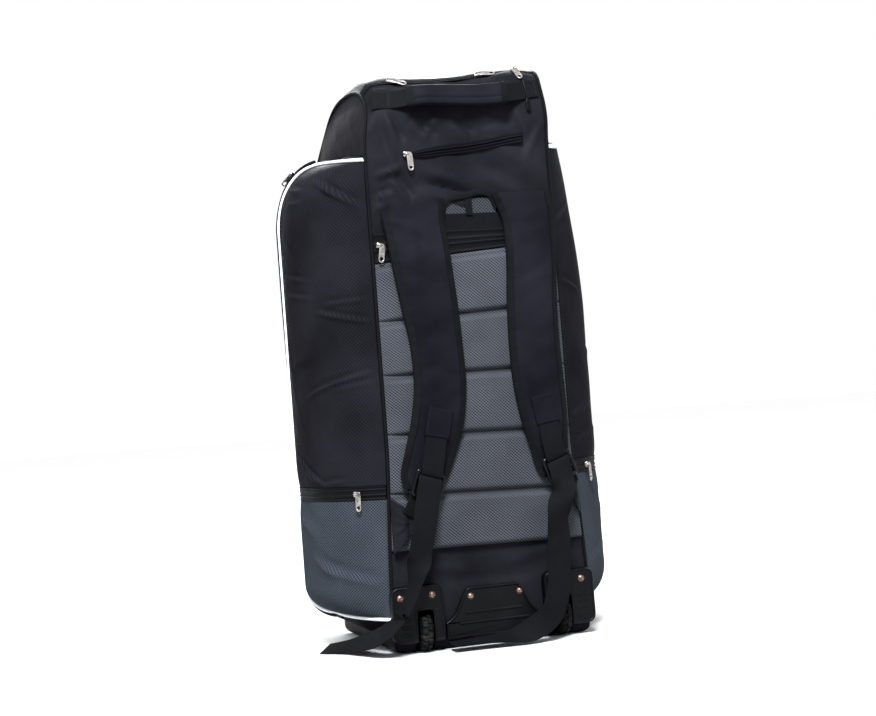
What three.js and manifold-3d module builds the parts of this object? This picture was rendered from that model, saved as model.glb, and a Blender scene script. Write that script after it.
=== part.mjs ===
// Wheeled kit bag that stands on its base, with shoulder straps on its back panel.
// Millimetres, +Z up. The origin is on the floor under the middle of the main body.
// +X is on the right of a viewer who faces the straps, and -Y points at that viewer.

import * as THREE from 'three';
import Module from 'manifold-3d';
import { mergeVertices } from 'three/addons/utils/BufferGeometryUtils.js';

const wasm = await Module();
wasm.setup();

const { clamp, lerp, smoothstep, degToRad } = THREE.MathUtils;

// Driving dimensions
const GAP = 0.4;
const CLOTH = 2;

// Heights below are counted from a level 8 mm above the floor
const FLOOR = -8;

// Lean of the soft top: how far it shifts sideways, and how far its right side stands up
const LEAN = {
  shift: 4.5,
  shiftStart: 775,
  shiftEnd: 850,
  rise: 15,
  riseReach: 150,
  riseStart: 690,
  riseEnd: 790,
};

const BODY = {
  halfWidth: 152,
  halfDepth: 150,
  footFlare: 10,
  flareBottom: 60,
  flareTop: 330,
  topTaper: 8,
  taperStart: 800,
  taperEnd: 880,
  corner: 26,
  shoulder: 780,
  top: 905,
  backRoundness: 0.68,
  boxyRoundness: 1,
  boxyStart: -0.6,
  frontRoundness: 0.6,
  topSwell: 9,
  sideBulge: 4,
  upperSideBulge: 12,
  upperBulgeStart: 740,
  upperBulgeEnd: 820,
  bulgeFade: 830,
  frontSpread: 17,
  sideStart: 0.05,
  sideEnd: 2.93,
};

const BASE = { margin: 1, thickness: 3 };

// How far the long strip of cloth bulges at its middle, along the body's outline
const CROWN = [
  { at: 0, bulge: 0 },
  { at: 1.12, bulge: 0 },
  { at: 1.5, bulge: 5 },
  { at: 2, bulge: 6 },
  { at: 2.5, bulge: 10 },
  { at: 3, bulge: 18 },
  { at: 4, bulge: 16 },
  { at: 4.6, bulge: 14 },
  { at: 5, bulge: 3 },
  { at: 6, bulge: 0 },
];

// Cross seams of each panel of the strip, counted in legs of the outline
const STRIP = {
  back: [0, 0.35, 0.7, 1, 1.13, 1.3, 1.5, 1.75, 2, 2.15, 2.3, 2.43, 2.556],
  zip: [2.56, 2.64],
  flap: [2.644, 2.76, 2.88, 3, 3.15, 3.3, 3.45, 3.6, 3.75, 3.9, 4.019],
  front: [4.02, 4.25, 4.6, 4.85, 5, 5.3, 5.65, 6],
};

const POCKET = {
  back: -146,
  front: 61,
  bottom: 50,
  top: 768,
  topTilt: 0.143,
  topCorner: 60,
  bottomCorner: 40,
  standOff: 3.8,
  reach: 260,
  roundness: 3,
  topShare: 0.33,
  topFade: 105,
  bottomShare: 0.565,
  bottomFade: 43,
  faceLevels: [310, 370, 430, 490, 550, 600, 640, 675, 705, 730, 749, 761],
  meshLevels: [55, 64, 82, 130],
  zipLow: 234,
  zipHigh: 256,
  zipWaist: 4,
  zipWaistSpread: 24,
  rimStart: 0.2,
  gussetFront: 45,
  gussetTop: 1,
  gussetBottom: 28,
  gussetClear: 4,
  seam: 0.7,
  meshThickness: 3,
};

// Soft diagonal folds of the pocket face: the middle of each, its slope, length, width and height
const FOLDS = [
  { y: -60, z: 590, slope: -0.35, length: 110, width: 26, height: 4 },
  { y: -20, z: 470, slope: 0.3, length: 100, width: 24, height: 5 },
  { y: -70, z: 400, slope: -0.25, length: 90, width: 22, height: -4 },
  { y: 20, z: 330, slope: -0.6, length: 80, width: 22, height: 4 },
];

const PIPING = { radius: 2.75, seamRadius: 2.5, seamOffset: 3, seamStart: 1.115, seamEnd: 4.96 };

// Quilted pad: the heights of its edges and sewn lines, and how far its channels stand up
const PAD = { seams: [150, 236, 328, 425, 520, 614], edge: 3, loft: 8, margin: 2, lift: 0.8 };
const STOW_ZIP = { bottom: 616, top: 648, thickness: 2.5 };
const YOKE_PATCH = { left: -26, right: 46, bottom: 680, top: 697, thickness: 2 };
const YOKE_LOOP = { left: 8, right: 19, bottom: 652, top: 697, lift: 3 };
const YOKE_BINDING = { left: -32, right: 43, bottom: 699, top: 709, thickness: 5, lift: 1 };

// Both edges of each shoulder strap, from its sewn top to its tip
const STRAPS = {
  left: [
    { outX: -138, outZ: 682, inX: -33, inZ: 702 },
    { outX: -133, outZ: 646, inX: -35, inZ: 664 },
    { outX: -128, outZ: 603, inX: -32, inZ: 606 },
    { outX: -117, outZ: 527, inX: -26, inZ: 522 },
    { outX: -108, outZ: 470, inX: -24, inZ: 462 },
    { outX: -107, outZ: 408, inX: -23, inZ: 404 },
    { outX: -116, outZ: 352, inX: -32, inZ: 346 },
    { outX: -130, outZ: 304, inX: -50, inZ: 294 },
    { outX: -138, outZ: 268, inX: -68, inZ: 258 },
    { outX: -130, outZ: 246, inX: -84, inZ: 240 },
  ],
  right: [
    { outX: 146, outZ: 707, inX: 45, inZ: 708 },
    { outX: 149, outZ: 662, inX: 61, inZ: 668 },
    { outX: 145, outZ: 600, inX: 62, inZ: 606 },
    { outX: 140, outZ: 530, inX: 57, inZ: 530 },
    { outX: 139, outZ: 456, inX: 55, inZ: 454 },
    { outX: 141, outZ: 392, inX: 58, inZ: 390 },
    { outX: 141, outZ: 338, inX: 68, inZ: 332 },
    { outX: 139, outZ: 304, inX: 79, inZ: 292 },
    { outX: 137, outZ: 278, inX: 87, inZ: 264 },
    { outX: 131, outZ: 256, inX: 98, inZ: 248 },
  ],
};
const STRAP = {
  back: 167.5,
  sewnBack: 158,
  liftStart: 600,
  liftEnd: 690,
  loft: 10,
  edge: 2.5,
  tipStart: 0.66,
  tipEnd: 0.86,
};

const WEBBING = { width: 38, buckleWidth: 34, thickness: 1.6 };

// Centre and width direction of the webbing that joins each shoulder strap to its buckle's top bar
const BUCKLE_WEBBING = {
  left: [
    { at: [-70, -181.6, 366], across: [0.98, 0, -0.2] },
    { at: [-80, -181.6, 326], across: [0.96, 0, -0.27] },
    { at: [-87, -182.4, 292], across: [0.95, 0, -0.32] },
  ],
  right: [
    { at: [100, -181.6, 376], across: [0.99, 0, 0.12] },
    { at: [106, -181.6, 340], across: [0.97, 0, 0.25] },
    { at: [110, -182.4, 306], across: [0.95, 0, 0.32] },
  ],
};

// Adjusting webbing: from the side tab up behind the buckle to its middle bar
const TAB_WEBBING = {
  left: [
    { at: [-124, -171, 204], across: [0.85, 0, -0.53] },
    { at: [-112, -172.6, 226], across: [0.93, 0, -0.36] },
  ],
  right: [
    { at: [134, -171, 226], across: [0.85, 0, 0.53] },
    { at: [127, -172.6, 244], across: [0.93, 0, 0.36] },
  ],
};

// The same webbing from the bar down: a free tail that hangs, twists and ends on the floor
const TAIL = {
  left: [
    { at: [-104, -187, 226], across: [0.98, 0, -0.2] },
    { at: [-109, -189, 190], across: [1, 0, 0] },
    { at: [-119, -188, 144], across: [1, 0, 0.05] },
    { at: [-126, -187, 122], across: [0.8, -0.5, 0.1] },
    { at: [-132, -186, 102], across: [0.5, -0.8, 0.2] },
    { at: [-146, -188, 76], across: [0.55, -0.6, 0.5] },
    { at: [-168, -184, 44], across: [0.5, 0.3, 0.8] },
    { at: [-188, -160, 20], across: [0.45, 0.6, 0.62] },
    { at: [-199, -112, 5], across: [0.4, 0.85, 0.3] },
    { at: [-217, -66, -3], across: [0.2, 0.96, 0.12] },
    { at: [-252, -30, -6.8], across: [0, 1, 0] },
  ],
  right: [
    { at: [121, -187, 243], across: [0.95, 0, 0.2] },
    { at: [119, -191, 224], across: [0.75, -0.6, 0.1] },
    { at: [111, -193, 205], across: [0.9, -0.3, 0.05] },
    { at: [106, -193, 184], across: [0.95, 0.2, 0] },
    { at: [105, -192, 150], across: [1, 0, 0] },
    { at: [101, -193, 100], across: [1, 0, 0] },
    { at: [95, -196, 66], across: [0.96, 0, 0.2] },
    { at: [80, -199, 34], across: [0.72, 0.05, -0.68] },
    { at: [52, -202, 17], across: [0.1, 0.3, -0.95] },
    { at: [20, -201, 10.5], across: [0, 0.7, -0.7] },
    { at: [-12, -196, 2.5], across: [-0.1, 0.92, -0.35] },
    { at: [-46, -185, -3], across: [-0.25, 0.95, -0.15] },
    { at: [-80, -176, -6.6], across: [-0.25, 0.97, 0] },
  ],
};

// Sewn cloth triangles that hold the webbing at the side seams
const TABS = {
  left: { seamX: -152, lowZ: 151, highZ: 227, apexX: -121, apexZ: 200 },
  right: { seamX: 152, lowZ: 174, highZ: 250, apexX: 129, apexZ: 223 },
};
const TAB = { seamY: -155.5, apexY: -167.4, thickness: 2, reach: 0.85, apexBelow: 10, apexAbove: 4 };

const BUCKLE = {
  width: 50,
  length: 44,
  depth: 5.4,
  side: 5,
  bars: [-19, 0, 19],
  barHeight: 5,
  corner: 4,
  bevel: 0.8,
  wrapRadius: 4.9,
  places: {
    left: { at: [-98, -175.3, 252], roll: 18.4 },
    right: { at: [118, -175.3, 266], roll: -18.4 },
  },
};

const WHEEL = {
  x: 115,
  y: -142,
  radius: 34,
  width: 22,
  bore: 4.5,
  axle: 4,
  blocks: 19,
  tread: 2.2,
  groove: 1.4,
  crown: 1.5,
  shoulder: 4,
  wallDrop: 9,
};
const HOUSING = {
  inner: 84,
  outer: 168,
  bottom: 9,
  top: 97,
  face: -166,
  corner: 13,
  bevel: 3,
  wall: 3,
  slotHalf: 12.5,
  slotTop: 58,
  wellBack: -104,
  wellTop: 65,
  ventX: 147,
  ventWidth: 13,
  ventHeight: 3.2,
  ventDepth: 1.6,
  vents: [57, 45, 33.5, 22],
};
const KICK = {
  topHalf: 46,
  footHalf: 80,
  bottom: 7,
  knee: 34,
  top: 85,
  face: -155.4,
  bevel: 1.2,
  round: 6,
  sweepOut: 22,
  sweepIn: 12,
  sweepRise: 10,
  ribs: [46, 30],
  ribInset: 14,
  ribHalf: 2,
  ribHeight: 1.4,
};
const RIVET = { radius: 5, height: 2.6 };
const RIVETS = [
  { name: 'rivet_housing_left_outer', x: -154, z: 80, face: HOUSING.face },
  { name: 'rivet_housing_left_inner', x: -102, z: 81, face: HOUSING.face },
  { name: 'rivet_kick_left', x: -37, z: 71, face: KICK.face },
  { name: 'rivet_kick_right', x: 45, z: 71, face: KICK.face },
  { name: 'rivet_housing_right_inner', x: 101, z: 81, face: HOUSING.face },
  { name: 'rivet_housing_right_outer', x: 147, z: 81, face: HOUSING.face },
];

const BACK_ZIP = { leftX: -86, leftZ: 764, rightX: 108, rightZ: 783, width: 15, thickness: 2.2 };
const HANDLE = {
  leftX: -139,
  rightX: 141,
  z: 855,
  sewnLift: 1.5,
  rise: 22,
  riseStart: 0.07,
  riseEnd: 0.3,
  webbing: 34,
  gripLeft: -84,
  gripRight: 76,
  gripHeight: 40,
  gripThickness: 12,
};

const PULL = {
  bodyWidth: 9,
  bodyHeight: 12,
  bodyDepth: 4,
  width: 8,
  length: 27,
  thickness: 1.8,
  hole: 2,
  holeInset: 4,
  round: 2.5,
  bridgeHalf: 1.6,
  bridgeLow: -3,
  bridgeHigh: 4.5,
  bridgeRise: 3.4,
  hang: 1.2,
  pocketShare: 0.142,
  gussetShare: 0.24,
  gussetAcross: 0.72,
  stowX: -138,
  stowZ: 632,
  topX: 104,
  topMiddleX: 44,
};

// Looks of each kind of piece
const LOOKS = {
  cloth: { color: 0x17181c, roughness: 0.75, metalness: 0 },
  strapCloth: { color: 0x14161b, roughness: 0.8, metalness: 0 },
  mesh: { color: 0x5b626b, roughness: 0.9, metalness: 0 },
  webbing: { color: 0x141416, roughness: 0.85, metalness: 0 },
  zipTape: { color: 0x111113, roughness: 0.7, metalness: 0 },
  piping: { color: 0xe4e5e8, roughness: 0.5, metalness: 0 },
  plastic: { color: 0x121315, roughness: 0.45, metalness: 0 },
  tyre: { color: 0x191a1c, roughness: 0.9, metalness: 0 },
  steel: { color: 0xb9babd, roughness: 0.3, metalness: 1 },
};

const bag = new THREE.Group();

function leanPoint(point) {
  const rise = smoothstep(point.x, 0, LEAN.riseReach) * smoothstep(point.z, LEAN.riseStart, LEAN.riseEnd);
  const shift = smoothstep(point.z, LEAN.shiftStart, LEAN.shiftEnd);
  return point.add(new THREE.Vector3(LEAN.shift * shift, 0, LEAN.rise * rise));
}

// Leans every point of a piece; nothing below the top changes
function leaned(geometry) {
  const place = geometry.getAttribute('position');
  const point = new THREE.Vector3();
  for (let k = 0; k < place.count; k += 1) {
    leanPoint(point.fromBufferAttribute(place, k));
    place.setXYZ(k, ...point);
  }
  return geometry;
}

function addPiece(name, geometry, look) {
  const mesh = new THREE.Mesh(leaned(geometry), new THREE.MeshStandardMaterial(LOOKS[look]));
  mesh.name = name;
  bag.add(mesh);
  return mesh;
}

// Reads a value at x from a table, straight between its rows
function lookUp(table, key, value, x) {
  let row = 0;
  while (row < table.length - 2 && table[row + 1][key] < x) {
    row += 1;
  }
  const span = table[row + 1][key] - table[row][key];
  const share = clamp((x - table[row][key]) / span, 0, 1);
  return lerp(table[row][value], table[row + 1][value], share);
}

function geometryFrom(points, triangles) {
  const geometry = new THREE.BufferGeometry();
  geometry.setAttribute('position', new THREE.Float32BufferAttribute(points, 3));
  geometry.setIndex(triangles);
  return geometry;
}

function signedVolume(points, triangles) {
  const corner = (index) => new THREE.Vector3().fromArray(points, 3 * index);
  let volume = 0;
  for (let k = 0; k < triangles.length; k += 3) {
    const [a, b, c] = [corner(triangles[k]), corner(triangles[k + 1]), corner(triangles[k + 2])];
    volume += a.dot(b.cross(c)) / 6;
  }
  return volume;
}

// Closed solid between two surfaces, each a function of two parameters from 0 to 1
function slab(outer, inner, columns, rows) {
  const points = [];
  const layer = (columns + 1) * (rows + 1);
  for (const surface of [outer, inner]) {
    for (let j = 0; j <= rows; j += 1) {
      for (let i = 0; i <= columns; i += 1) {
        points.push(...surface(i / columns, j / rows).toArray());
      }
    }
  }
  const at = (i, j) => j * (columns + 1) + i;
  const triangles = [];
  const quad = (a, b, c, d) => triangles.push(a, b, c, a, c, d);
  for (let j = 0; j < rows; j += 1) {
    for (let i = 0; i < columns; i += 1) {
      const [a, b, c, d] = [at(i, j), at(i + 1, j), at(i + 1, j + 1), at(i, j + 1)];
      quad(a, b, c, d);
      quad(layer + a, layer + d, layer + c, layer + b);
    }
  }
  for (let i = 0; i < columns; i += 1) {
    quad(at(i + 1, 0), at(i, 0), layer + at(i, 0), layer + at(i + 1, 0));
    quad(at(i, rows), at(i + 1, rows), layer + at(i + 1, rows), layer + at(i, rows));
  }
  for (let j = 0; j < rows; j += 1) {
    quad(at(0, j), at(0, j + 1), layer + at(0, j + 1), layer + at(0, j));
    quad(at(columns, j + 1), at(columns, j), layer + at(columns, j), layer + at(columns, j + 1));
  }
  if (signedVolume(points, triangles) < 0) {
    triangles.reverse();
  }
  return geometryFrom(points, triangles);
}

// Unit normal of a surface, from its slopes along both parameters
function surfaceNormal(surface, a, b) {
  const step = 1e-3;
  const [a0, a1] = [Math.max(a - step, 0), Math.min(a + step, 1)];
  const [b0, b1] = [Math.max(b - step, 0), Math.min(b + step, 1)];
  const alongA = surface(a1, b).sub(surface(a0, b));
  const alongB = surface(a, b1).sub(surface(a, b0));
  return alongA.cross(alongB).normalize();
}

// Cloth of even thickness behind a surface whose normal points out
function sheet(surface, columns, rows, thickness = CLOTH) {
  const inner = (a, b) => surface(a, b).addScaledVector(surfaceNormal(surface, a, b), -thickness);
  return slab(surface, inner, columns, rows);
}

function mirrored(geometry) {
  const copy = geometry.clone();
  copy.scale(-1, 1, 1);
  const index = copy.getIndex();
  if (index) {
    copy.setIndex(Array.from(index.array).reverse());
    return copy;
  }
  return mirrored(weldedGeometry(geometry));
}

// Manifold joins and cuts
function weldedGeometry(geometry) {
  const bare = geometry.clone();
  bare.deleteAttribute('normal');
  bare.deleteAttribute('uv');
  return mergeVertices(bare, 1e-4);
}

function toSolid(geometry) {
  const welded = weldedGeometry(geometry);
  const vertProperties = new Float32Array(welded.getAttribute('position').array);
  const triVerts = new Uint32Array(welded.getIndex().array);
  return new wasm.Manifold(new wasm.Mesh({ numProp: 3, vertProperties, triVerts }));
}

function fromSolid(solid) {
  const mesh = solid.getMesh();
  return geometryFrom(Array.from(mesh.vertProperties), Array.from(mesh.triVerts));
}

// Box given by its lowest and highest corners
function boxBetween([x0, y0, z0], [x1, y1, z1]) {
  const box = new THREE.BoxGeometry(x1 - x0, y1 - y0, z1 - z0);
  return box.translate((x0 + x1) / 2, (y0 + y1) / 2, (z0 + z1) / 2);
}

// Plate whose outline is drawn in X and Z, from y = back out to y = face
function plate(outline, back, face, bevel = 0, curveSegments = 4) {
  const depth = back - face - 2 * bevel;
  const geometry = new THREE.ExtrudeGeometry(outline, {
    depth,
    curveSegments,
    bevelEnabled: bevel > 0,
    bevelThickness: bevel,
    bevelSize: bevel,
    bevelOffset: -bevel,
    bevelSegments: 1,
  });
  return geometry.rotateX(Math.PI / 2).translate(0, back - bevel, 0);
}

function tube(points, radius, steps, sides) {
  const ring = new THREE.Shape().absarc(0, 0, radius, 0, 2 * Math.PI);
  const extrudePath = new THREE.CatmullRomCurve3(points);
  return new THREE.ExtrudeGeometry(ring, { steps, extrudePath, curveSegments: sides / 2 });
}

// Flat webbing along a row of centres, with its width direction given at each
function ribbon(rows, width, thickness, stepsPerRow = 2) {
  const centres = new THREE.CatmullRomCurve3(rows.map((row) => new THREE.Vector3(...row.at)));
  const widths = new THREE.CatmullRomCurve3(rows.map((row) => new THREE.Vector3(...row.across)));
  const face = (side) => (a, b) => {
    const tangent = centres.getTangent(b);
    const across = widths.getPoint(b);
    across.addScaledVector(tangent, -across.dot(tangent)).normalize();
    const normal = across.clone().cross(tangent);
    const point = centres.getPoint(b).addScaledVector(across, (a - 0.5) * width);
    return point.addScaledVector(normal, side * thickness / 2);
  };
  return slab(face(1), face(-1), 1, stepsPerRow * (rows.length - 1));
}

// Main body: one outline in Y and Z, in six legs, and a width that follows the height
const { halfDepth, corner, shoulder, top } = BODY;
const vector = (y, z) => new THREE.Vector2(y, z);
const archRise = top - shoulder;
const footZ = FLOOR + corner;
const backArch = (roundness) => new THREE.CubicBezierCurve(
  vector(-halfDepth, shoulder),
  vector(-halfDepth, shoulder + roundness * archRise),
  vector(-halfDepth * roundness, top),
  vector(0, top),
);
const LEGS = [
  new THREE.EllipseCurve(corner - halfDepth, footZ, corner, corner, -Math.PI / 2, -Math.PI, true),
  new THREE.LineCurve(vector(-halfDepth, footZ), vector(-halfDepth, shoulder)),
  backArch(BODY.backRoundness),
  new THREE.CubicBezierCurve(
    vector(0, top),
    vector(halfDepth * BODY.frontRoundness, top),
    vector(halfDepth, shoulder + BODY.frontRoundness * archRise),
    vector(halfDepth, shoulder),
  ),
  new THREE.LineCurve(vector(halfDepth, shoulder), vector(halfDepth, footZ)),
  new THREE.EllipseCurve(halfDepth - corner, footZ, corner, corner, 0, -Math.PI / 2, true),
];
const ARCH_LEG = 2;
const BOXY_ARCH = backArch(BODY.boxyRoundness);

function legOf(t) {
  return clamp(Math.floor(t), 0, LEGS.length - 1);
}

// Point of the outline at u across the body: the back's top is round on the left, boxy on the right
function outlinePoint(t, u) {
  const leg = legOf(t);
  const point = LEGS[leg].getPoint(t - leg);
  if (leg === ARCH_LEG) {
    point.lerp(BOXY_ARCH.getPoint(t - leg), smoothstep(u, BODY.boxyStart, 1));
  }
  return point;
}

function outlineNormal(t, u) {
  const step = 1e-4;
  const leg = legOf(t);
  const before = outlinePoint(Math.max(t - step, leg), u);
  const tangent = outlinePoint(Math.min(t + step, leg + 1), u).sub(before).normalize();
  return vector(-tangent.y, tangent.x);
}

function roundCut(radius, distance) {
  const inside = clamp(radius - distance, 0, radius);
  return radius - Math.sqrt(radius ** 2 - inside ** 2);
}

// Half of the body's width at a height and depth: it spreads towards the front
function halfWidth(z, y = -halfDepth) {
  const flare = BODY.footFlare * (1 - smoothstep(z, BODY.flareBottom, BODY.flareTop));
  const taper = BODY.topTaper * smoothstep(z, BODY.taperStart, BODY.taperEnd);
  const spread = BODY.frontSpread * (y + halfDepth) / (2 * halfDepth);
  return BODY.halfWidth + flare + spread - taper - roundCut(corner, z - FLOOR);
}

// Point of the long strip: u from -1 to 1 across, t along the outline, lifted off the cloth
function stripPoint(u, t, lift = 0) {
  const foot = outlinePoint(t, u);
  const normal = outlineNormal(t, u);
  const swell = BODY.topSwell * smoothstep(t, 2.1, 2.5) * (1 - smoothstep(t, 3.3, 4)) * (1 - u ** 6);
  const out = lookUp(CROWN, 'at', 'bulge', t) * (1 - u * u) + swell + lift;
  const x = u * halfWidth(foot.y, foot.x);
  return new THREE.Vector3(x, foot.x + normal.x * out, foot.y + normal.y * out);
}

// Outline parameter of a height on the back, at u across it
function backParameter(z, u) {
  if (z <= shoulder) {
    return 1 + (z - footZ) / (shoulder - footZ);
  }
  let [low, high] = [2, 3];
  for (let k = 0; k < 24; k += 1) {
    const middle = (low + high) / 2;
    if (outlinePoint(middle, u).y < z) {
      low = middle;
    } else {
      high = middle;
    }
  }
  return low;
}

function onBack(x, z, lift) {
  const u = x / halfWidth(z);
  const t = backParameter(z, u);
  return stripPoint(x / halfWidth(z, outlinePoint(t, u).x), t, lift);
}

// Value at a share of the way through a list of values
function between(values, share) {
  const rows = values.length - 1;
  const row = Math.min(Math.floor(share * rows + 1e-9), rows - 1);
  return lerp(values[row], values[row + 1], share * rows - row);
}

function stripPanel(seams, columns) {
  return sheet((a, b) => stripPoint(2 * a - 1, between(seams, b)), columns, seams.length - 1);
}

function sideBulge(y, z) {
  const across = clamp((y + halfDepth) / (2 * halfDepth), 0, 1);
  const upper = smoothstep(z, BODY.upperBulgeStart, BODY.upperBulgeEnd);
  const full = lerp(BODY.sideBulge, BODY.upperSideBulge, upper);
  const fade = (1 - smoothstep(z, BODY.bulgeFade, top)) * smoothstep(z, FLOOR, footZ);
  return full * 4 * across * (1 - across) * fade;
}

// Side panel, set inside the strip: a from back to front, t up the outline, u at its side
function sidePoint(a, t, u) {
  const inset = CLOTH + 4 * GAP;
  const back = outlinePoint(t, u).addScaledVector(outlineNormal(t, u), -inset);
  const front = outlinePoint(6 - t, u).addScaledVector(outlineNormal(6 - t, u), -inset);
  const foot = back.lerp(front, a);
  const x = halfWidth(foot.y, foot.x) + sideBulge(foot.x, foot.y);
  return new THREE.Vector3(x, foot.x, foot.y);
}

function wellBox(side, margin) {
  const half = HOUSING.slotHalf + HOUSING.wall + margin;
  const low = [side * WHEEL.x - half, -2 * halfDepth, -corner];
  const high = [side * WHEEL.x + half, HOUSING.wellBack + HOUSING.wall + margin];
  return boxBetween(low, [...high, HOUSING.wellTop + HOUSING.wall + margin]);
}

function cutWells(geometry) {
  const cut = toSolid(wellBox(-1, GAP)).add(toSolid(wellBox(1, GAP)));
  return fromSolid(toSolid(geometry).subtract(cut));
}

function baseGeometry() {
  const y = halfDepth - corner - BASE.margin;
  const at = (z) => (a, b) => {
    const depth = lerp(-y, y, b);
    return new THREE.Vector3((2 * a - 1) * (halfWidth(FLOOR, depth) - BASE.margin), depth, z);
  };
  return slab(at(FLOOR + BASE.thickness), at(FLOOR), 1, 1);
}

function buildBody() {
  addPiece('back_panel', cutWells(stripPanel(STRIP.back, 6)), 'cloth');
  addPiece('top_zip', stripPanel(STRIP.zip, 6), 'zipTape');
  addPiece('top_flap', stripPanel(STRIP.flap, 6), 'cloth');
  addPiece('front_panel', stripPanel(STRIP.front, 6), 'cloth');
  addPiece('base_panel', cutWells(baseGeometry()), 'cloth');
  const { sideStart, sideEnd } = BODY;
  const side = (u) => sheet((a, b) => sidePoint(a, lerp(sideStart, sideEnd, b), u), 4, 12);
  addPiece('side_panel_right', side(1), 'cloth');
  addPiece('side_panel_left', mirrored(side(-1)), 'cloth');
}

// Side pockets: the face runs from the back seam out to a piped front edge
function pocketFront(z) {
  const topCut = roundCut(POCKET.topCorner, POCKET.top - z);
  const bottomCut = roundCut(POCKET.bottomCorner, z - POCKET.bottom);
  return POCKET.front - topCut - bottomCut;
}

function foldHeight(y, z) {
  let height = 0;
  for (const fold of FOLDS) {
    const along = (y - fold.y) / fold.length;
    const off = (z - fold.z - fold.slope * (y - fold.y)) / fold.width;
    height += fold.height * Math.exp(-4 * (along * along + off * off));
  }
  return height;
}

// Grows along a quarter circle from 0 to 1 over a distance
function roundRise(distance, fade) {
  return 1 - roundCut(fade, distance) / fade;
}

// Point of the right pocket's face: p from 0 at the back seam to 1 at the front edge
function pocketPoint(p, z) {
  const y = lerp(POCKET.back, pocketFront(z), p);
  const forward = (y - POCKET.back) / (POCKET.front - POCKET.back);
  const rise = 1 - (1 - forward) ** POCKET.roundness;
  const topShare = lerp(POCKET.topShare, 1, roundRise(POCKET.top - z, POCKET.topFade));
  const bottomShare = lerp(POCKET.bottomShare, 1, roundRise(z - POCKET.bottom, POCKET.bottomFade));
  const fromZip = (z - (POCKET.zipLow + POCKET.zipHigh) / 2) / POCKET.zipWaistSpread;
  const waist = POCKET.zipWaist * Math.exp(-fromZip * fromZip) * rise;
  const foot = halfWidth(z) + POCKET.standOff;
  const out = (POCKET.reach - foot) * topShare * bottomShare * rise - waist;
  const edgeFade = 4 * p * (1 - p);
  const tilt = POCKET.topTilt * ((z - POCKET.bottom) / (POCKET.top - POCKET.bottom)) ** 3;
  return new THREE.Vector3(foot + out + foldHeight(y, z) * edgeFade, y, z + tilt * (y - POCKET.back));
}

// Panel of the pocket between given heights
function pocketPanel(levels, columns, thickness) {
  const rows = levels.length - 1;
  return sheet((a, b) => pocketPoint(a, between(levels, b)), columns, rows, thickness);
}

// Rim of the face: along its top, round its front edge and back along its bottom
function pocketRim() {
  const rim = [];
  const add = (p, z, angle) => {
    const out = new THREE.Vector3(0, Math.cos(angle), Math.sin(angle));
    rim.push({ edge: pocketPoint(p, z), out });
  };
  const quarter = Math.PI / 2;
  const { rimStart, topCorner, bottomCorner } = POCKET;
  for (let k = 0; k < 6; k += 1) {
    add(lerp(rimStart, 1, k / 6), POCKET.top, quarter);
  }
  for (let k = 0; k < 5; k += 1) {
    const angle = quarter * (1 - k / 5);
    add(1, POCKET.top - topCorner * (1 - Math.sin(angle)), angle);
  }
  for (let k = 0; k < 9; k += 1) {
    add(1, lerp(POCKET.top - topCorner, POCKET.bottom + bottomCorner, k / 9), 0);
  }
  for (let k = 0; k < 5; k += 1) {
    const angle = -quarter * (k / 5);
    add(1, POCKET.bottom + bottomCorner * (1 + Math.sin(angle)), angle);
  }
  for (let k = 0; k <= 6; k += 1) {
    add(lerp(1, rimStart, k / 6), POCKET.bottom, -quarter);
  }
  return rim;
}

const RIM = pocketRim();
const pipingOffset = PIPING.radius + 5 * GAP;
const pipingCentres = RIM.map(({ edge, out }) => edge.clone().addScaledVector(out, pipingOffset));

// Foot of the gusset on the side panel, for one point of the rim
function gussetFoot({ edge, out }) {
  const reach = out.z > 0 ? POCKET.gussetTop : POCKET.gussetBottom;
  const y = edge.y + pipingOffset * out.y + POCKET.gussetFront * Math.max(out.y, 0);
  const z = edge.z + pipingOffset * out.z + reach * out.z;
  return new THREE.Vector3(halfWidth(z, y) + sideBulge(y, z) + POCKET.gussetClear, y, z);
}

// Gusset between the piping and the side panel: a from the body out, b along the rim
function gussetPoint(a, b) {
  const place = b * (RIM.length - 1);
  const row = Math.min(Math.floor(place), RIM.length - 2);
  const ends = [row, row + 1].map((k) => {
    const start = pipingCentres[k].clone();
    start.x -= pipingOffset + GAP;
    return gussetFoot(RIM[k]).lerp(start, a);
  });
  return ends[0].lerp(ends[1], place - row);
}

function buildPockets() {
  const { seam, bottom, zipLow, zipHigh } = POCKET;
  const meshLevels = [bottom, ...POCKET.meshLevels, zipLow - seam];
  const faceLevels = [zipHigh + seam, ...POCKET.faceLevels, POCKET.top];
  const pieces = [
    ['pocket_mesh', pocketPanel(meshLevels, 8, POCKET.meshThickness), 'mesh'],
    ['pocket_zip', pocketPanel([zipLow, zipHigh], 8), 'zipTape'],
    ['pocket_face', pocketPanel(faceLevels, 8), 'cloth'],
    ['pocket_gusset', sheet(gussetPoint, 1, RIM.length - 1), 'cloth'],
    ['pocket_piping', tube(pipingCentres, PIPING.radius, 34, 5), 'piping'],
  ];
  // The mirrored copy comes first, because the other one leans in place
  for (const [name, geometry, look] of pieces) {
    addPiece(`${name}_left`, mirrored(geometry), look);
    addPiece(`${name}_right`, geometry, look);
  }
  addPiece('edge_piping_left', seamPiping(-1), 'webbing');
  addPiece('edge_piping_right', seamPiping(1), 'webbing');
}

// Black piping in the seam of one side with the back, the top and the front
function seamPiping(side) {
  const points = [];
  const steps = 38;
  for (let k = 0; k <= steps; k += 1) {
    const t = lerp(PIPING.seamStart, PIPING.seamEnd, k / steps);
    const point = stripPoint(side, t, PIPING.seamOffset);
    point.x += side * PIPING.seamOffset;
    points.push(point);
  }
  return tube(points, PIPING.seamRadius, 41, 5);
}

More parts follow.
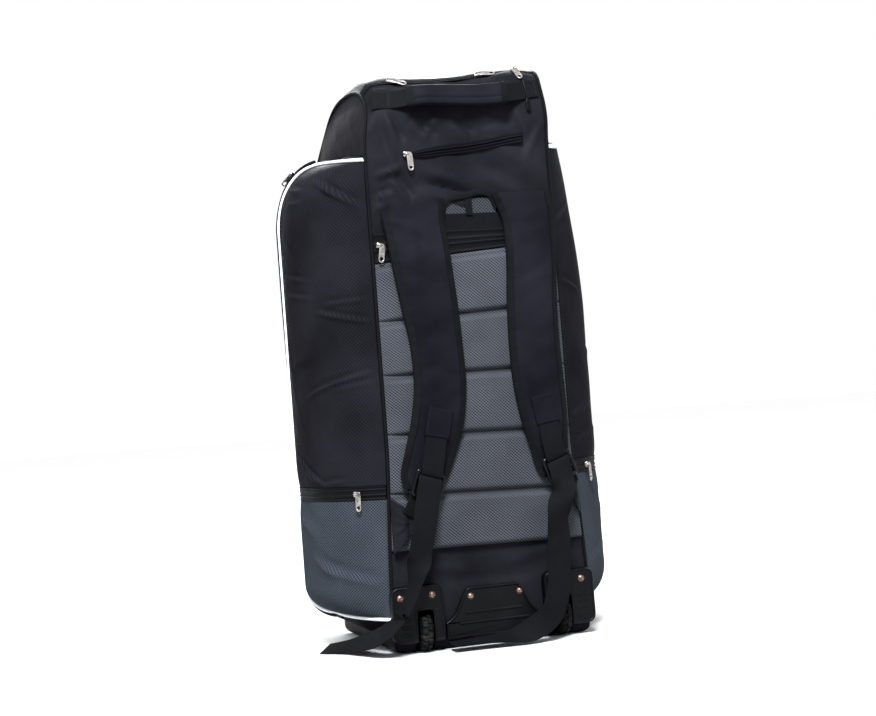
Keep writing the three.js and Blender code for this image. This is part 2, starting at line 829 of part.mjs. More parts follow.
// Back panel: quilted pad, zips, yoke and handle
function padLoft(u, share) {
  const channel = Math.sin(Math.PI * clamp(share, 0, 1));
  return PAD.edge + PAD.loft * Math.abs(channel) ** 0.5 * (1 - u ** 6);
}

function backPatch({ left, right, bottom, top: high, thickness = CLOTH, lift = GAP }, columns) {
  const at = (extra) => (a, b) => onBack(lerp(left, right, a), lerp(bottom, high, b), lift + extra);
  return slab(at(thickness), at(0), columns, 2);
}

function buildBackPanel() {
  const channels = PAD.seams.length - 1;
  const at = (loft) => (a, b) => {
    const row = Math.min(Math.floor(b * channels + 1e-9), channels - 1);
    const share = b * channels - row;
    const z = lerp(PAD.seams[row], PAD.seams[row + 1], share);
    const u = 2 * a - 1;
    const x = u * (halfWidth(z) - PAD.margin);
    return onBack(x, z, PAD.lift + (loft ? padLoft(u, share) : 0));
  };
  addPiece('back_pad', slab(at(true), at(false), 5, 4 * channels), 'mesh');
  const zipHalf = halfWidth(STOW_ZIP.top) - PAD.margin;
  addPiece('stow_zip', backPatch({ ...STOW_ZIP, left: -zipHalf, right: zipHalf }, 6), 'zipTape');
  addPiece('yoke_patch', backPatch(YOKE_PATCH, 2), 'mesh');
  addPiece('yoke_loop', backPatch(YOKE_LOOP, 1), 'webbing');
  addPiece('yoke_binding', backPatch(YOKE_BINDING, 2), 'webbing');
  const zipAt = (extra) => (a, b) => {
    const z = lerp(BACK_ZIP.leftZ, BACK_ZIP.rightZ, a) + (b - 0.5) * BACK_ZIP.width;
    return onBack(lerp(BACK_ZIP.leftX, BACK_ZIP.rightX, a), z, GAP + extra);
  };
  addPiece('back_pocket_zip', slab(zipAt(BACK_ZIP.thickness), zipAt(0), 6, 1), 'zipTape');
}

// Carrying handle: webbing sewn down at both ends, lifted in the middle under a padded grip
function handleRow(x) {
  const share = (x - HANDLE.leftX) / (HANDLE.rightX - HANDLE.leftX);
  const fromEnd = Math.min(share, 1 - share);
  const lift = HANDLE.sewnLift + HANDLE.rise * smoothstep(fromEnd, HANDLE.riseStart, HANDLE.riseEnd);
  const low = onBack(x, HANDLE.z - 1, lift);
  const high = onBack(x, HANDLE.z + 1, lift);
  const across = high.clone().sub(low).normalize();
  return { at: low.lerp(high, 0.5).toArray(), across: across.toArray() };
}

function buildHandle() {
  const rowsBetween = (left, right, count) => {
    return Array.from({ length: count }, (_, k) => handleRow(lerp(left, right, k / (count - 1))));
  };
  const rows = rowsBetween(HANDLE.leftX, HANDLE.rightX, 11);
  addPiece('handle_webbing', ribbon(rows, HANDLE.webbing, WEBBING.thickness), 'webbing');
  const gripRows = rowsBetween(HANDLE.gripLeft, HANDLE.gripRight, 7);
  const grip = toSolid(ribbon(gripRows, HANDLE.gripHeight, HANDLE.gripThickness));
  const sleeve = ribbon(rows, HANDLE.webbing + 2 * GAP, WEBBING.thickness + 2 * GAP);
  addPiece('handle_grip', fromSolid(grip.subtract(toSolid(sleeve))), 'strapCloth');
}

// Shoulder straps: padded, with thin bound edges
function strapSurface(rows, padded) {
  return (a, b) => {
    const place = b * (rows.length - 1);
    const row = Math.min(Math.floor(place), rows.length - 2);
    const share = place - row;
    const read = (key) => lerp(rows[row][key], rows[row + 1][key], share);
    const x = lerp(read('outX'), read('inX'), a);
    const z = lerp(read('outZ'), read('inZ'), a);
    const sewn = smoothstep(z, STRAP.liftStart, STRAP.liftEnd);
    const back = lerp(STRAP.back, STRAP.sewnBack, sewn);
    const across = 2 * a - 1;
    const tip = 1 - smoothstep(b, STRAP.tipStart, STRAP.tipEnd);
    const loft = STRAP.edge + STRAP.loft * tip * Math.sqrt(1 - across ** 4);
    return new THREE.Vector3(x, -(back + (padded ? loft : 0)), z);
  };
}

function tabGeometry(tab) {
  const at = (extra) => (a, b) => {
    const share = a * TAB.reach;
    const apex = lerp(tab.apexZ - TAB.apexBelow, tab.apexZ + TAB.apexAbove, b);
    const z = lerp(lerp(tab.lowZ, tab.highZ, b), apex, share);
    const y = lerp(TAB.seamY, TAB.apexY, share) - extra;
    return new THREE.Vector3(lerp(tab.seamX, tab.apexX, share), y, z);
  };
  return slab(at(TAB.thickness), at(0), 2, 2);
}

// Ladder-lock buckle: a frame with three bars
function buckleGeometry() {
  const { width, length, side, bars, barHeight, depth, bevel } = BUCKLE;
  const frame = roundedRectangle(-width / 2, -length / 2, width / 2, length / 2, BUCKLE.corner);
  for (let k = 0; k + 1 < bars.length; k += 1) {
    const low = bars[k] + barHeight / 2;
    const high = bars[k + 1] - barHeight / 2;
    frame.holes.push(rectangle(side - width / 2, low, width / 2 - side, high));
  }
  return plate(frame, 0, -depth, bevel, 1);
}

function rectangle(x0, z0, x1, z1) {
  return new THREE.Shape([vector(x0, z0), vector(x1, z0), vector(x1, z1), vector(x0, z1)]);
}

function roundedRectangle(x0, z0, x1, z1, radius) {
  const shape = new THREE.Shape();
  shape.moveTo(x0 + radius, z0);
  shape.lineTo(x1 - radius, z0);
  shape.absarc(x1 - radius, z0 + radius, radius, -Math.PI / 2, 0, false);
  shape.absarc(x1 - radius, z1 - radius, radius, 0, Math.PI / 2, false);
  shape.absarc(x0 + radius, z1 - radius, radius, Math.PI / 2, Math.PI, false);
  shape.absarc(x0 + radius, z0 + radius, radius, Math.PI, 1.5 * Math.PI, false);
  return shape;
}

// Rows of webbing half round a buckle's bar: over it from the back, or under it from the front
function wrapRows(side, bar, over) {
  const place = BUCKLE.places[side];
  const roll = degToRad(place.roll);
  const across = new THREE.Vector3(Math.cos(roll), 0, -Math.sin(roll));
  const up = new THREE.Vector3(Math.sin(roll), 0, Math.cos(roll));
  const middle = new THREE.Vector3(...place.at).addScaledVector(up, bar);
  middle.y -= BUCKLE.depth / 2;
  return [0, 45, 90, 135, 180].map((degrees) => {
    const angle = degToRad(degrees);
    const point = middle.clone();
    point.y += (over ? 1 : -1) * BUCKLE.wrapRadius * Math.cos(angle);
    point.addScaledVector(up, (over ? 1 : -1) * BUCKLE.wrapRadius * Math.sin(angle));
    return { at: point.toArray(), across: across.toArray() };
  });
}

function buildStraps() {
  const [, middleBar, topBar] = BUCKLE.bars;
  for (const side of ['left', 'right']) {
    const rows = STRAPS[side];
    const strap = slab(strapSurface(rows, true), strapSurface(rows, false), 4, 2 * (rows.length - 1));
    addPiece(`shoulder_strap_${side}`, strap, 'strapCloth');
    const loopRows = [...BUCKLE_WEBBING[side], ...wrapRows(side, topBar, false)];
    addPiece(`buckle_webbing_${side}`, ribbon(loopRows, WEBBING.buckleWidth, WEBBING.thickness), 'webbing');
    const tailRows = [...TAB_WEBBING[side], ...wrapRows(side, middleBar, true), ...TAIL[side]];
    addPiece(`strap_webbing_${side}`, ribbon(tailRows, WEBBING.width, WEBBING.thickness), 'webbing');
    addPiece(`strap_tab_${side}`, tabGeometry(TABS[side]), 'cloth');
    const buckle = addPiece(`strap_buckle_${side}`, buckleGeometry(), 'plastic');
    buckle.position.set(...BUCKLE.places[side].at);
    buckle.rotation.y = degToRad(BUCKLE.places[side].roll);
  }
}

// Wheels: a ring with two rows of tread blocks, turning on a plain axle in a moulded housing
function wheelGeometry() {
  const { radius, width, bore, blocks, tread, groove, crown, shoulder: rounding, wallDrop } = WHEEL;
  const half = width / 2;
  const profile = [
    { x: -half, r: bore },
    { x: -half, r: radius - wallDrop },
    { x: rounding - half, r: radius - crown, row: 0 },
    { x: -groove, r: radius, row: 0 },
    { x: 0, r: radius - tread },
    { x: groove, r: radius, row: 1 },
    { x: half - rounding, r: radius - crown, row: 1 },
    { x: half, r: radius - wallDrop },
    { x: half, r: bore },
  ];
  const steps = 2 * blocks;
  const points = [];
  const triangles = [];
  for (let k = 0; k < steps; k += 1) {
    const angle = (k / steps) * 2 * Math.PI;
    for (const { x, r, row } of profile) {
      const cut = row !== undefined && (k + row) % 2 === 0 ? tread : 0;
      points.push(x, (r - cut) * Math.cos(angle), (r - cut) * Math.sin(angle));
    }
  }
  const count = profile.length;
  for (let k = 0; k < steps; k += 1) {
    const next = (k + 1) % steps;
    for (let i = 0; i < count; i += 1) {
      const j = (i + 1) % count;
      const [a, b, c, d] = [k * count + i, k * count + j, next * count + j, next * count + i];
      triangles.push(a, b, c, a, c, d);
    }
  }
  if (signedVolume(points, triangles) < 0) {
    triangles.reverse();
  }
  return geometryFrom(points, triangles);
}

// Right housing: a bevelled plate with a well behind it, cut open for the wheel
function housingGeometry() {
  const { inner, outer, bottom, top: high, face, corner: round, slotHalf, wellBack, wellTop } = HOUSING;
  const outline = roundedRectangle(inner, bottom, outer, high, round);
  const back = -halfDepth - GAP;
  const well = boxBetween(
    [WHEEL.x - slotHalf - HOUSING.wall, face + HOUSING.bevel + 1, bottom],
    [WHEEL.x + slotHalf + HOUSING.wall, wellBack + HOUSING.wall, wellTop + HOUSING.wall],
  );
  const room = boxBetween(
    [WHEEL.x - slotHalf, face + HOUSING.wall, -corner],
    [WHEEL.x + slotHalf, wellBack, wellTop],
  );
  const slot = boxBetween(
    [WHEEL.x - slotHalf, face - round, -corner],
    [WHEEL.x + slotHalf, wellBack - round, HOUSING.slotTop],
  );
  let solid = toSolid(plate(outline, back, face, HOUSING.bevel, 3)).add(toSolid(well));
  solid = solid.subtract(toSolid(room)).subtract(toSolid(slot));
  for (const z of HOUSING.vents) {
    const vent = boxBetween(
      [HOUSING.ventX - HOUSING.ventWidth / 2, face - 1, z - HOUSING.ventHeight / 2],
      [HOUSING.ventX + HOUSING.ventWidth / 2, face + HOUSING.ventDepth, z + HOUSING.ventHeight / 2],
    );
    solid = solid.subtract(toSolid(vent));
  }
  return fromSolid(solid);
}

// Kick plate: a low moulded plate whose ends sweep down and out, with two raised ribs
function kickPlateGeometry() {
  const { topHalf, footHalf, bottom, knee, top: high, face, round, ribHalf } = KICK;
  const outline = new THREE.Shape();
  const sweep = { x: footHalf - KICK.sweepOut, z: knee + KICK.sweepRise };
  const bend = { x: topHalf + KICK.sweepIn, z: high - KICK.sweepOut };
  outline.moveTo(-footHalf, bottom);
  outline.lineTo(footHalf, bottom);
  outline.lineTo(footHalf, knee);
  outline.bezierCurveTo(sweep.x, sweep.z, bend.x, bend.z, topHalf, high - round);
  outline.quadraticCurveTo(topHalf - round / 2, high, topHalf - 1.5 * round, high);
  outline.lineTo(1.5 * round - topHalf, high);
  outline.quadraticCurveTo(round / 2 - topHalf, high, -topHalf, high - round);
  outline.bezierCurveTo(-bend.x, bend.z, -sweep.x, sweep.z, -footHalf, knee);
  let solid = toSolid(plate(outline, -halfDepth - GAP, face, KICK.bevel, 6));
  for (const z of KICK.ribs) {
    const half = lerp(topHalf, footHalf, (high - z) / (high - bottom)) - KICK.ribInset;
    const rib = boxBetween([-half, face - KICK.ribHeight, z - ribHalf], [half, face + 1, z + ribHalf]);
    solid = solid.add(toSolid(rib));
  }
  return fromSolid(solid);
}

function rivetGeometry() {
  const { radius, height } = RIVET;
  const rim = [0, 0.45, 0.8, 1].map((share) => {
    const angle = (1 - share) * Math.PI / 2;
    return new THREE.Vector2(radius * Math.cos(angle), height * Math.sin(angle));
  });
  rim[0].x = 0;
  const profile = [...rim, new THREE.Vector2(0, 0)].reverse();
  return weldedGeometry(new THREE.LatheGeometry(profile, 9));
}

function buildWheelEnd() {
  const housing = housingGeometry();
  for (const [side, sign] of [['left', -1], ['right', 1]]) {
    addPiece(`wheel_housing_${side}`, sign < 0 ? mirrored(housing) : housing, 'plastic');
    const wheel = addPiece(`wheel_${side}`, wheelGeometry(), 'tyre');
    wheel.position.set(sign * WHEEL.x, WHEEL.y, FLOOR + WHEEL.radius);
    const length = 2 * (HOUSING.slotHalf - GAP);
    const pin = new THREE.CylinderGeometry(WHEEL.axle, WHEEL.axle, length, 10);
    const axle = addPiece(`wheel_axle_${side}`, pin, 'steel');
    axle.rotation.z = Math.PI / 2;
    axle.position.copy(wheel.position);
  }
  addPiece('kick_plate', kickPlateGeometry(), 'plastic');
  for (const { name, x, z, face } of RIVETS) {
    const rivet = addPiece(name, rivetGeometry(), 'steel');
    rivet.rotation.x = Math.PI;
    rivet.position.set(x, face - GAP, z);
  }
}

// Zip pull: a slider with a bridge, and a flat pull that hangs from it, facing -Y
function pullGeometry() {
  const { bodyWidth, bodyHeight, bodyDepth, width, length, hole, bridgeHalf, bridgeLow } = PULL;
  const body = new THREE.Shape();
  body.moveTo(-bodyWidth / 2, bodyHeight / 2);
  body.lineTo(-bodyWidth / 3, -bodyHeight / 2);
  body.lineTo(bodyWidth / 3, -bodyHeight / 2);
  body.lineTo(bodyWidth / 2, bodyHeight / 2);
  const pull = roundedRectangle(-width / 2, -length, width / 2, hole, PULL.round);
  pull.holes.push(rectangle(-hole, PULL.holeInset - length, hole, -length / 2));
  const bridge = boxBetween(
    [-bridgeHalf, -bodyDepth - PULL.bridgeRise, bridgeLow],
    [bridgeHalf, GAP - bodyDepth, PULL.bridgeHigh],
  );
  const back = -bodyDepth - PULL.hang;
  const hanging = plate(pull, back, back - PULL.thickness, 0, 1);
  const slider = toSolid(plate(body, 0, -bodyDepth));
  return fromSolid(slider.add(toSolid(bridge)).add(toSolid(hanging)));
}

// Places of the zip pulls: where the slider sits, which way it faces and which way the pull lies
function pullPlaces() {
  const backward = new THREE.Vector3(0, -1, 0);
  const downward = new THREE.Vector3(0, 0, -1);
  const onBackZip = (x, z, thickness, swing) => {
    const at = onBack(x, z, 2 * GAP + thickness);
    return { at, facing: backward, lying: new THREE.Vector3(swing, 0, -1) };
  };
  const onPocket = (sign) => {
    const z = (POCKET.zipLow + POCKET.zipHigh) / 2;
    const near = (a, b) => pocketPoint(a, lerp(z - 1, z + 1, b));
    const facing = surfaceNormal(near, PULL.pocketShare, 0.5);
    const at = pocketPoint(PULL.pocketShare, z).addScaledVector(facing, 2 * GAP);
    const flip = new THREE.Vector3(sign, 1, 1);
    return { at: at.multiply(flip), facing: facing.multiply(flip), lying: downward };
  };
  const onGusset = (sign) => {
    const [a, b] = [PULL.gussetAcross, PULL.gussetShare];
    const facing = surfaceNormal(gussetPoint, a, b);
    const at = gussetPoint(a, b).addScaledVector(facing, 3 * GAP);
    const lying = gussetPoint(a, b + 0.02).sub(gussetPoint(a, b));
    const flip = new THREE.Vector3(sign, 1, 1);
    return { at: at.multiply(flip), facing: facing.multiply(flip), lying: lying.multiply(flip) };
  };
  const onTop = (x) => {
    const [low, high] = STRIP.zip;
    const u = x / halfWidth(top);
    const lying = stripPoint(u, low).sub(stripPoint(u, high));
    const at = stripPoint(u, (low + high) / 2, 2 * GAP);
    const facing = stripPoint(u, low, 1).sub(stripPoint(u, low));
    return { at, facing, lying };
  };
  return {
    back_pocket_pull: onBackZip(BACK_ZIP.leftX + 2, BACK_ZIP.leftZ + 2, BACK_ZIP.thickness, 0.25),
    stow_pull: onBackZip(PULL.stowX, PULL.stowZ, STOW_ZIP.thickness, -0.15),
    side_pull_left: onPocket(-1),
    side_pull_right: onPocket(1),
    gusset_pull_left: onGusset(-1),
    gusset_pull_right: onGusset(1),
    top_pull_left: onTop(-PULL.topX),
    top_pull_right: onTop(PULL.topX),
    top_pull_middle: onTop(PULL.topMiddleX),
  };
}

function buildPulls() {
  for (const [name, { at, facing, lying }] of Object.entries(pullPlaces())) {
    const pull = addPiece(name, pullGeometry(), 'steel');
    const inward = facing.clone().normalize().negate();
    const side = inward.clone().cross(lying.clone().negate()).normalize();
    const upward = side.clone().cross(inward);
    pull.quaternion.setFromRotationMatrix(new THREE.Matrix4().makeBasis(side, inward, upward));
    pull.position.copy(leanPoint(at));
  }
}

buildBody();
buildPockets();
buildBackPanel();
buildHandle();
buildStraps();
buildWheelEnd();
buildPulls();

// The floor becomes the zero of the heights
for (const piece of bag.children) {
  piece.position.z -= FLOOR;
}

export default bag;
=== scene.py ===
import math

import bmesh
import bpy
import numpy as np
from mathutils import Matrix


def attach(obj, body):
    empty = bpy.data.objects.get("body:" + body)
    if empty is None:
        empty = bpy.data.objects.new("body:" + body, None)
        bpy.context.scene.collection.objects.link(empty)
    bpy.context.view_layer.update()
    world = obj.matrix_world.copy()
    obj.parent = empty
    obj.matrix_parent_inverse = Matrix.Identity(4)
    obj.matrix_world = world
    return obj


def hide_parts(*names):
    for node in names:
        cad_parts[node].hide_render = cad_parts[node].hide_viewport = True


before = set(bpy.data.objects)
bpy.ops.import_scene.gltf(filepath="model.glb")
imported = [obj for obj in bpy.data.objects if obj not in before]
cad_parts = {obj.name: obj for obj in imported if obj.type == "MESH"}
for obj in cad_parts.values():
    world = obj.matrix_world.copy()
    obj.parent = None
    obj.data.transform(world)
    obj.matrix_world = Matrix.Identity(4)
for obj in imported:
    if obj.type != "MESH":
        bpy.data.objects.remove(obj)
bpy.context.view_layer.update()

mm = 0.001
print("frame loaded:", len(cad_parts), "solids")

studio = {
    "eye": (-0.707, -2.410, 0.376),  # metres
    "turn": -16.0,
    "tilt": 2.0,
    "roll": -4.4,
    "lens": 60.9,
    "floorNear": (0.42, 0.42, 0.424),
    "floorFar": (0.98, 0.98, 0.985),
    "floorReach": 30.0,
    "floorDrop": 0.0005,
    "sky": 1.0,
    # place, aim (metres), size, power, colour
    "lamps": [
        ((-0.8, -2.6, 3.4), (0, 0, 0.5), 1.1, 620, (0.90, 0.94, 1.0)),
        ((2.2, 2.6, 2.4), (0, 0, 0.5), 1.2, 70, (1.0, 0.97, 0.95)),
        ((0.5, 2.8, 3.0), (0, 0, 0.5), 2.0, 300, (1.0, 1.0, 1.0)),
        ((-2.6, 0.4, 2.6), (0, 0, 0.5), 0.5, 28, (0.88, 0.93, 1.0)),
    ],
}


def setCamera():  # forward from turn and tilt; right and up turned by the roll
    turn, tilt, roll = (math.radians(studio[key]) for key in ("turn", "tilt", "roll"))
    forward = np.array([-math.sin(turn) * math.cos(tilt), math.cos(turn) * math.cos(tilt), math.sin(tilt)])
    right = np.cross(forward, (0, 0, 1))
    right /= np.linalg.norm(right)
    up = np.cross(right, forward)
    level = right * math.cos(roll) + up * math.sin(roll)
    upright = up * math.cos(roll) - right * math.sin(roll)
    data = bpy.data.cameras.new("photoCamera")
    data.lens = studio["lens"]
    data.sensor_width = 36
    camera = bpy.data.objects.new("photoCamera", data)
    camera.matrix_world = Matrix.Translation(studio["eye"]) @ Matrix(
        np.stack([level, upright, -forward], 1).tolist()
    ).to_4x4()
    bpy.context.scene.collection.objects.link(camera)
    bpy.context.scene.camera = camera


def setLamps():  # each lamp's own Z points from its aim back to its place
    for index, (place, aim, size, power, colour) in enumerate(studio["lamps"]):
        data = bpy.data.lights.new(f"lamp{index}", "AREA")
        data.energy, data.size, data.color = power, size, colour
        lamp = bpy.data.objects.new(f"lamp{index}", data)
        back = np.array(place, float) - np.array(aim, float)
        back /= np.linalg.norm(back)
        side = np.cross((0, 0, 1), back)
        side /= np.linalg.norm(side)
        axes = np.stack([side, np.cross(back, side), back], 1)
        lamp.matrix_world = Matrix.Translation(place) @ Matrix(axes.tolist()).to_4x4()
        bpy.context.scene.collection.objects.link(lamp)
    world = bpy.data.worlds.new("paleRoom")
    world.use_nodes = True
    ground = world.node_tree.nodes["Background"]
    ground.inputs["Color"].default_value = (1, 1, 1, 1)
    ground.inputs["Strength"].default_value = studio["sky"]
    bpy.context.scene.world = world
    bpy.context.scene.view_settings.view_transform = "Standard"


setCamera()
setLamps()
print("camera and lamps set")


# Shader maths: one socket, with the operators that are used
class Wire:
    def __init__(self, tree, socket=None):
        self.tree, self.socket = tree, socket

    def node(self, kind, settings=None, inputs=None, output=0):
        made = self.tree.nodes.new(kind)
        for key, value in (settings or {}).items():
            setattr(made, key, value)
        for key, value in (inputs or {}).items():
            if isinstance(value, Wire):
                self.tree.links.new(value.socket, made.inputs[key])
            else:
                made.inputs[key].default_value = value
        return Wire(self.tree, made.outputs[output])

    def calc(self, operation, *values):
        return self.node("ShaderNodeMath", {"operation": operation}, dict(enumerate(values)))

    def __add__(self, other):
        return self.calc("ADD", self, other)

    __radd__ = __add__

    def __sub__(self, other):
        return self.calc("SUBTRACT", self, other)

    def __rsub__(self, other):
        return self.calc("SUBTRACT", other, self)

    def __mul__(self, other):
        return self.calc("MULTIPLY", self, other)

    __rmul__ = __mul__

    def __pow__(self, other):
        return self.calc("POWER", self, other)

    def wave(self):
        return self.calc("SINE", self)

    def size(self):
        return self.calc("ABSOLUTE", self)

    def between(self, low, high):  # smooth step from low to high
        return self.node("ShaderNodeMapRange", {"interpolation_type": "SMOOTHSTEP"},
                         {"Value": self, "From Min": low, "From Max": high})

    def tint(self, dark, light):
        return self.node("ShaderNodeMix", {"data_type": "RGBA", "clamp_factor": True},
                         {0: self, 6: (*dark, 1), 7: (*light, 1)}, output=2)

    def lay(self):  # the piece's own cloth coordinates, in metres
        uv = self.node("ShaderNodeUVMap", {"uv_map": "lay"})
        return [self.node("ShaderNodeSeparateXYZ", None, {0: uv}, output=k) for k in (0, 1)]

    def noise(self, scale, detail=3.0, stretch=(1, 1, 1)):
        place = self.node("ShaderNodeTexCoord", output=3)
        moved = self.node("ShaderNodeMapping", None, {"Vector": place, "Scale": stretch})
        return self.node("ShaderNodeTexNoise", None, {"Vector": moved, "Scale": scale, "Detail": detail})

    def bump(self, strength, distance):
        return self.node("ShaderNodeBump", None,
                         {"Strength": strength, "Distance": distance, "Height": self})


def newFinish(name, fixed):  # a material with its fixed inputs set, and a wire to add the rest
    material = bpy.data.materials.new(name)
    material.use_nodes = True
    shader = material.node_tree.nodes["Principled BSDF"]
    for key, value in fixed.items():
        shader.inputs[key].default_value = value
    return material, Wire(material.node_tree), shader


def wireUp(wire, shader, **links):  # joins each wire to the shader's input of that plain name
    names = {"colour": "Base Color", "rough": "Roughness", "normal": "Normal"}
    for key, value in links.items():
        wire.tree.links.new(value.socket, shader.inputs[names[key]])


def clothFinish(name, dark, light, rough, grid, heavy, satin):
    # woven cloth: two crossed sets of threads on the diagonals, a slow change of shade, fine wrinkles
    material, wire, shader = newFinish(name, {"Specular IOR Level": satin})
    across, along = wire.lay()
    pitch = math.pi / (grid * mm)
    first = (1 - ((across + along) * pitch).wave().size()) ** 2.5
    second = (1 - ((across - along) * pitch).wave().size()) ** 2.5
    thread = first + second
    shade = wire.noise(9, 4).between(0.3, 0.75)
    grain = wire.noise(700, 2)
    wrinkle = wire.noise(38, 5)
    wireUp(wire, shader,
           colour=(shade * 0.34 + thread * heavy + grain * 0.2).tint(dark, light),
           rough=rough + shade * 0.1,
           normal=(thread * heavy + grain * 0.15 + wrinkle * 5.0).bump(0.5, 0.0007))
    return material


def meshFinish(name, dark, light, rib, slant, lead, soft):
    # spacer mesh: strong ribs on one diagonal, crossed by weaker ones, with small holes between
    material, wire, shader = newFinish(name, {
        "Sheen Weight": 0.004, "Sheen Roughness": 0.5, "Specular IOR Level": 0.012,
    })
    across, along = wire.lay()
    pitch = math.pi / (rib * mm)
    ribs = ((across * slant + along) * pitch).wave().size()
    cross = ((across * slant - along) * pitch).wave().size()
    hole = (ribs * lead + cross * (1 - lead)).between(0.5 - soft, 0.5 + soft)
    shade = wire.noise(11, 4).between(0.25, 0.8)
    wireUp(wire, shader,
           colour=(hole * 0.8 + shade * 0.2).tint(dark, light),
           rough=0.78 + shade * 0.12,
           normal=hole.bump(0.8, 0.0012))
    return material


def webbingFinish(name, dark, light):
    # webbing: ribs along its length, crossed by a fine herringbone
    material, wire, shader = newFinish(name, {
        "Sheen Weight": 0.004, "Sheen Roughness": 0.5, "Specular IOR Level": 0.035,
    })
    around, along = wire.lay()
    ribs = (around * (math.pi / (2.4 * mm))).wave().size()
    weft = ((along + around * 0.6) * (math.pi / (1.7 * mm))).wave().size()
    worn = wire.noise(30, 4).between(0.35, 0.8)
    wireUp(wire, shader,
           colour=(ribs * 0.35 + weft * 0.3 + worn * 0.3).tint(dark, light),
           rough=0.62 + worn * 0.2,
           normal=(ribs * 0.6 + weft * 0.5).bump(0.6, 0.0006))
    return material


def coilFinish(name, dark, light):
    # zip tape and coil: teeth at an even pitch along the zip
    material, wire, shader = newFinish(name, {"Specular IOR Level": 0.05})
    across, along = wire.lay()
    teeth = (across * (math.pi / (1.6 * mm))).wave().size()
    shade = wire.noise(40, 3)
    wireUp(wire, shader,
           colour=(teeth * 0.5 + shade * 0.3).tint(dark, light),
           rough=0.45 + shade * 0.25,
           normal=teeth.bump(0.5, 0.0006))
    return material


def plasticFinish(name, dark, light, rough, grain, gloss):
    # moulded plastic: fine grain, and a slow change of gloss where it has been rubbed
    material, wire, shader = newFinish(name, {"Specular IOR Level": gloss})
    fine = wire.noise(grain, 2)
    rubbed = wire.noise(18, 5).between(0.35, 0.8)
    wireUp(wire, shader,
           colour=(fine * 0.3 + rubbed * 0.5).tint(dark, light),
           rough=rough + rubbed * 0.14,
           normal=fine.bump(0.25, 0.0004))
    return material


def tyreFinish(name, dark, dusty):
    # tyre: dark rubber with dust and scuffs in patches
    material, wire, shader = newFinish(name, {"Specular IOR Level": 0.07})
    patches = wire.noise(60, 6).between(0.54, 0.76)
    fine = wire.noise(600, 3)
    wireUp(wire, shader,
           colour=(patches * 0.8 + fine * 0.15).tint(dark, dusty),
           rough=0.55 + patches * 0.3,
           normal=fine.bump(0.4, 0.0006))
    return material


def metalFinish(name, dark, light, rough):
    # plated metal: bright, with faint tarnish
    material, wire, shader = newFinish(name, {"Metallic": 1.0})
    tarnish = wire.noise(160, 4).between(0.35, 0.75)
    wireUp(wire, shader,
           colour=tarnish.tint(light, dark),
           rough=rough + tarnish * 0.18,
           normal=wire.noise(900, 2).bump(0.08, 0.0002))
    return material


def pipingFinish(name, clean, grimy, gloss):
    # smooth piping or thread with a little grime
    material, wire, shader = newFinish(name, {"Specular IOR Level": gloss})
    grime = wire.noise(45, 5).between(0.5, 0.85)
    wireUp(wire, shader,
           colour=grime.tint(clean, grimy),
           rough=0.32 + grime * 0.2,
           normal=wire.noise(500, 2).bump(0.1, 0.0003))
    return material


# dark and light shade, roughness, thread pitch, strength of the weave, satin
clothLooks = {
    # darkToneAndShadeCloth is the body cloth made darker and with less satin: on the gussets, which face the
    # floor, the darkness is painted shade; on the sloping zip band it is that band's darker tone
    "darkToneAndShadeCloth": ((0.0010, 0.0010, 0.0014), (0.0074, 0.0072, 0.0094), 0.4, 3.0, 0.3, 0.003),
    "bagCloth": ((0.0012, 0.0012, 0.0017), (0.0144, 0.0138, 0.0178), 0.38, 3.0, 0.26, 0.012),
    "ripstop": ((0.0012, 0.0012, 0.0016), (0.0122, 0.0118, 0.0150), 0.36, 6.4, 0.56, 0.002),
    "strapCloth": ((0.0014, 0.0014, 0.0020), (0.0114, 0.0113, 0.0154), 0.4, 3.4, 0.3, 0.008),
}
# dark and light shade, rib pitch, slant, share of the stronger ribs, softness of the holes
meshLooks = {
    "padMesh": ((0.0024, 0.0026, 0.0031), (0.046, 0.049, 0.057), 4.9, 0.9, 0.62, 0.27),
    # shadedYokeNet is the pad's mesh made darker: painted shade, since the yoke windows face up towards the
    # key lamp
    "shadedYokeNet": ((0.0015, 0.0016, 0.002), (0.030, 0.032, 0.037), 4.9, 0.9, 0.62, 0.27),
    "pocketNet": ((0.0016, 0.0019, 0.0025), (0.034, 0.040, 0.049), 4.6, 0.8, 0.5, 0.22),
}
# dark and light shade, roughness, grain, gloss
plasticLooks = {
    "plastic": ((0.0008, 0.0008, 0.0010), (0.0034, 0.0034, 0.0041), 0.34, 420, 0.085),
    "bucklePlastic": ((0.0005, 0.0005, 0.0006), (0.0018, 0.0018, 0.0022), 0.13, 300, 0.14),
}
darkToneAndShadeCloth, bagCloth, ripstop, strapCloth = (clothFinish(name, *look) for name, look in clothLooks.items())
padMesh, shadedYokeNet, pocketNet = (meshFinish(name, *look) for name, look in meshLooks.items())
webbing = webbingFinish("webbing", (0.0007, 0.0007, 0.0009), (0.0044, 0.0044, 0.0052))
zipTape = coilFinish("zipTape", (0.0005, 0.0005, 0.0007), (0.0026, 0.0026, 0.0032))
plastic, bucklePlastic = (plasticFinish(name, *look) for name, look in plasticLooks.items())
stitch = pipingFinish("stitch", (0.0066, 0.0066, 0.0078), (0.004, 0.004, 0.0048), 0.01)
tyre = tyreFinish("tyre", (0.0008, 0.0009, 0.0011), (0.020, 0.018, 0.016))
steel = metalFinish("steel", (0.09, 0.083, 0.077), (0.42, 0.39, 0.365), 0.3)
rivetSteel = metalFinish("rivetSteel", (0.07, 0.042, 0.03), (0.25, 0.165, 0.125), 0.36)
piping = pipingFinish("piping", (0.66, 0.67, 0.70), (0.42, 0.42, 0.43), 0.2)
print("finishes made")


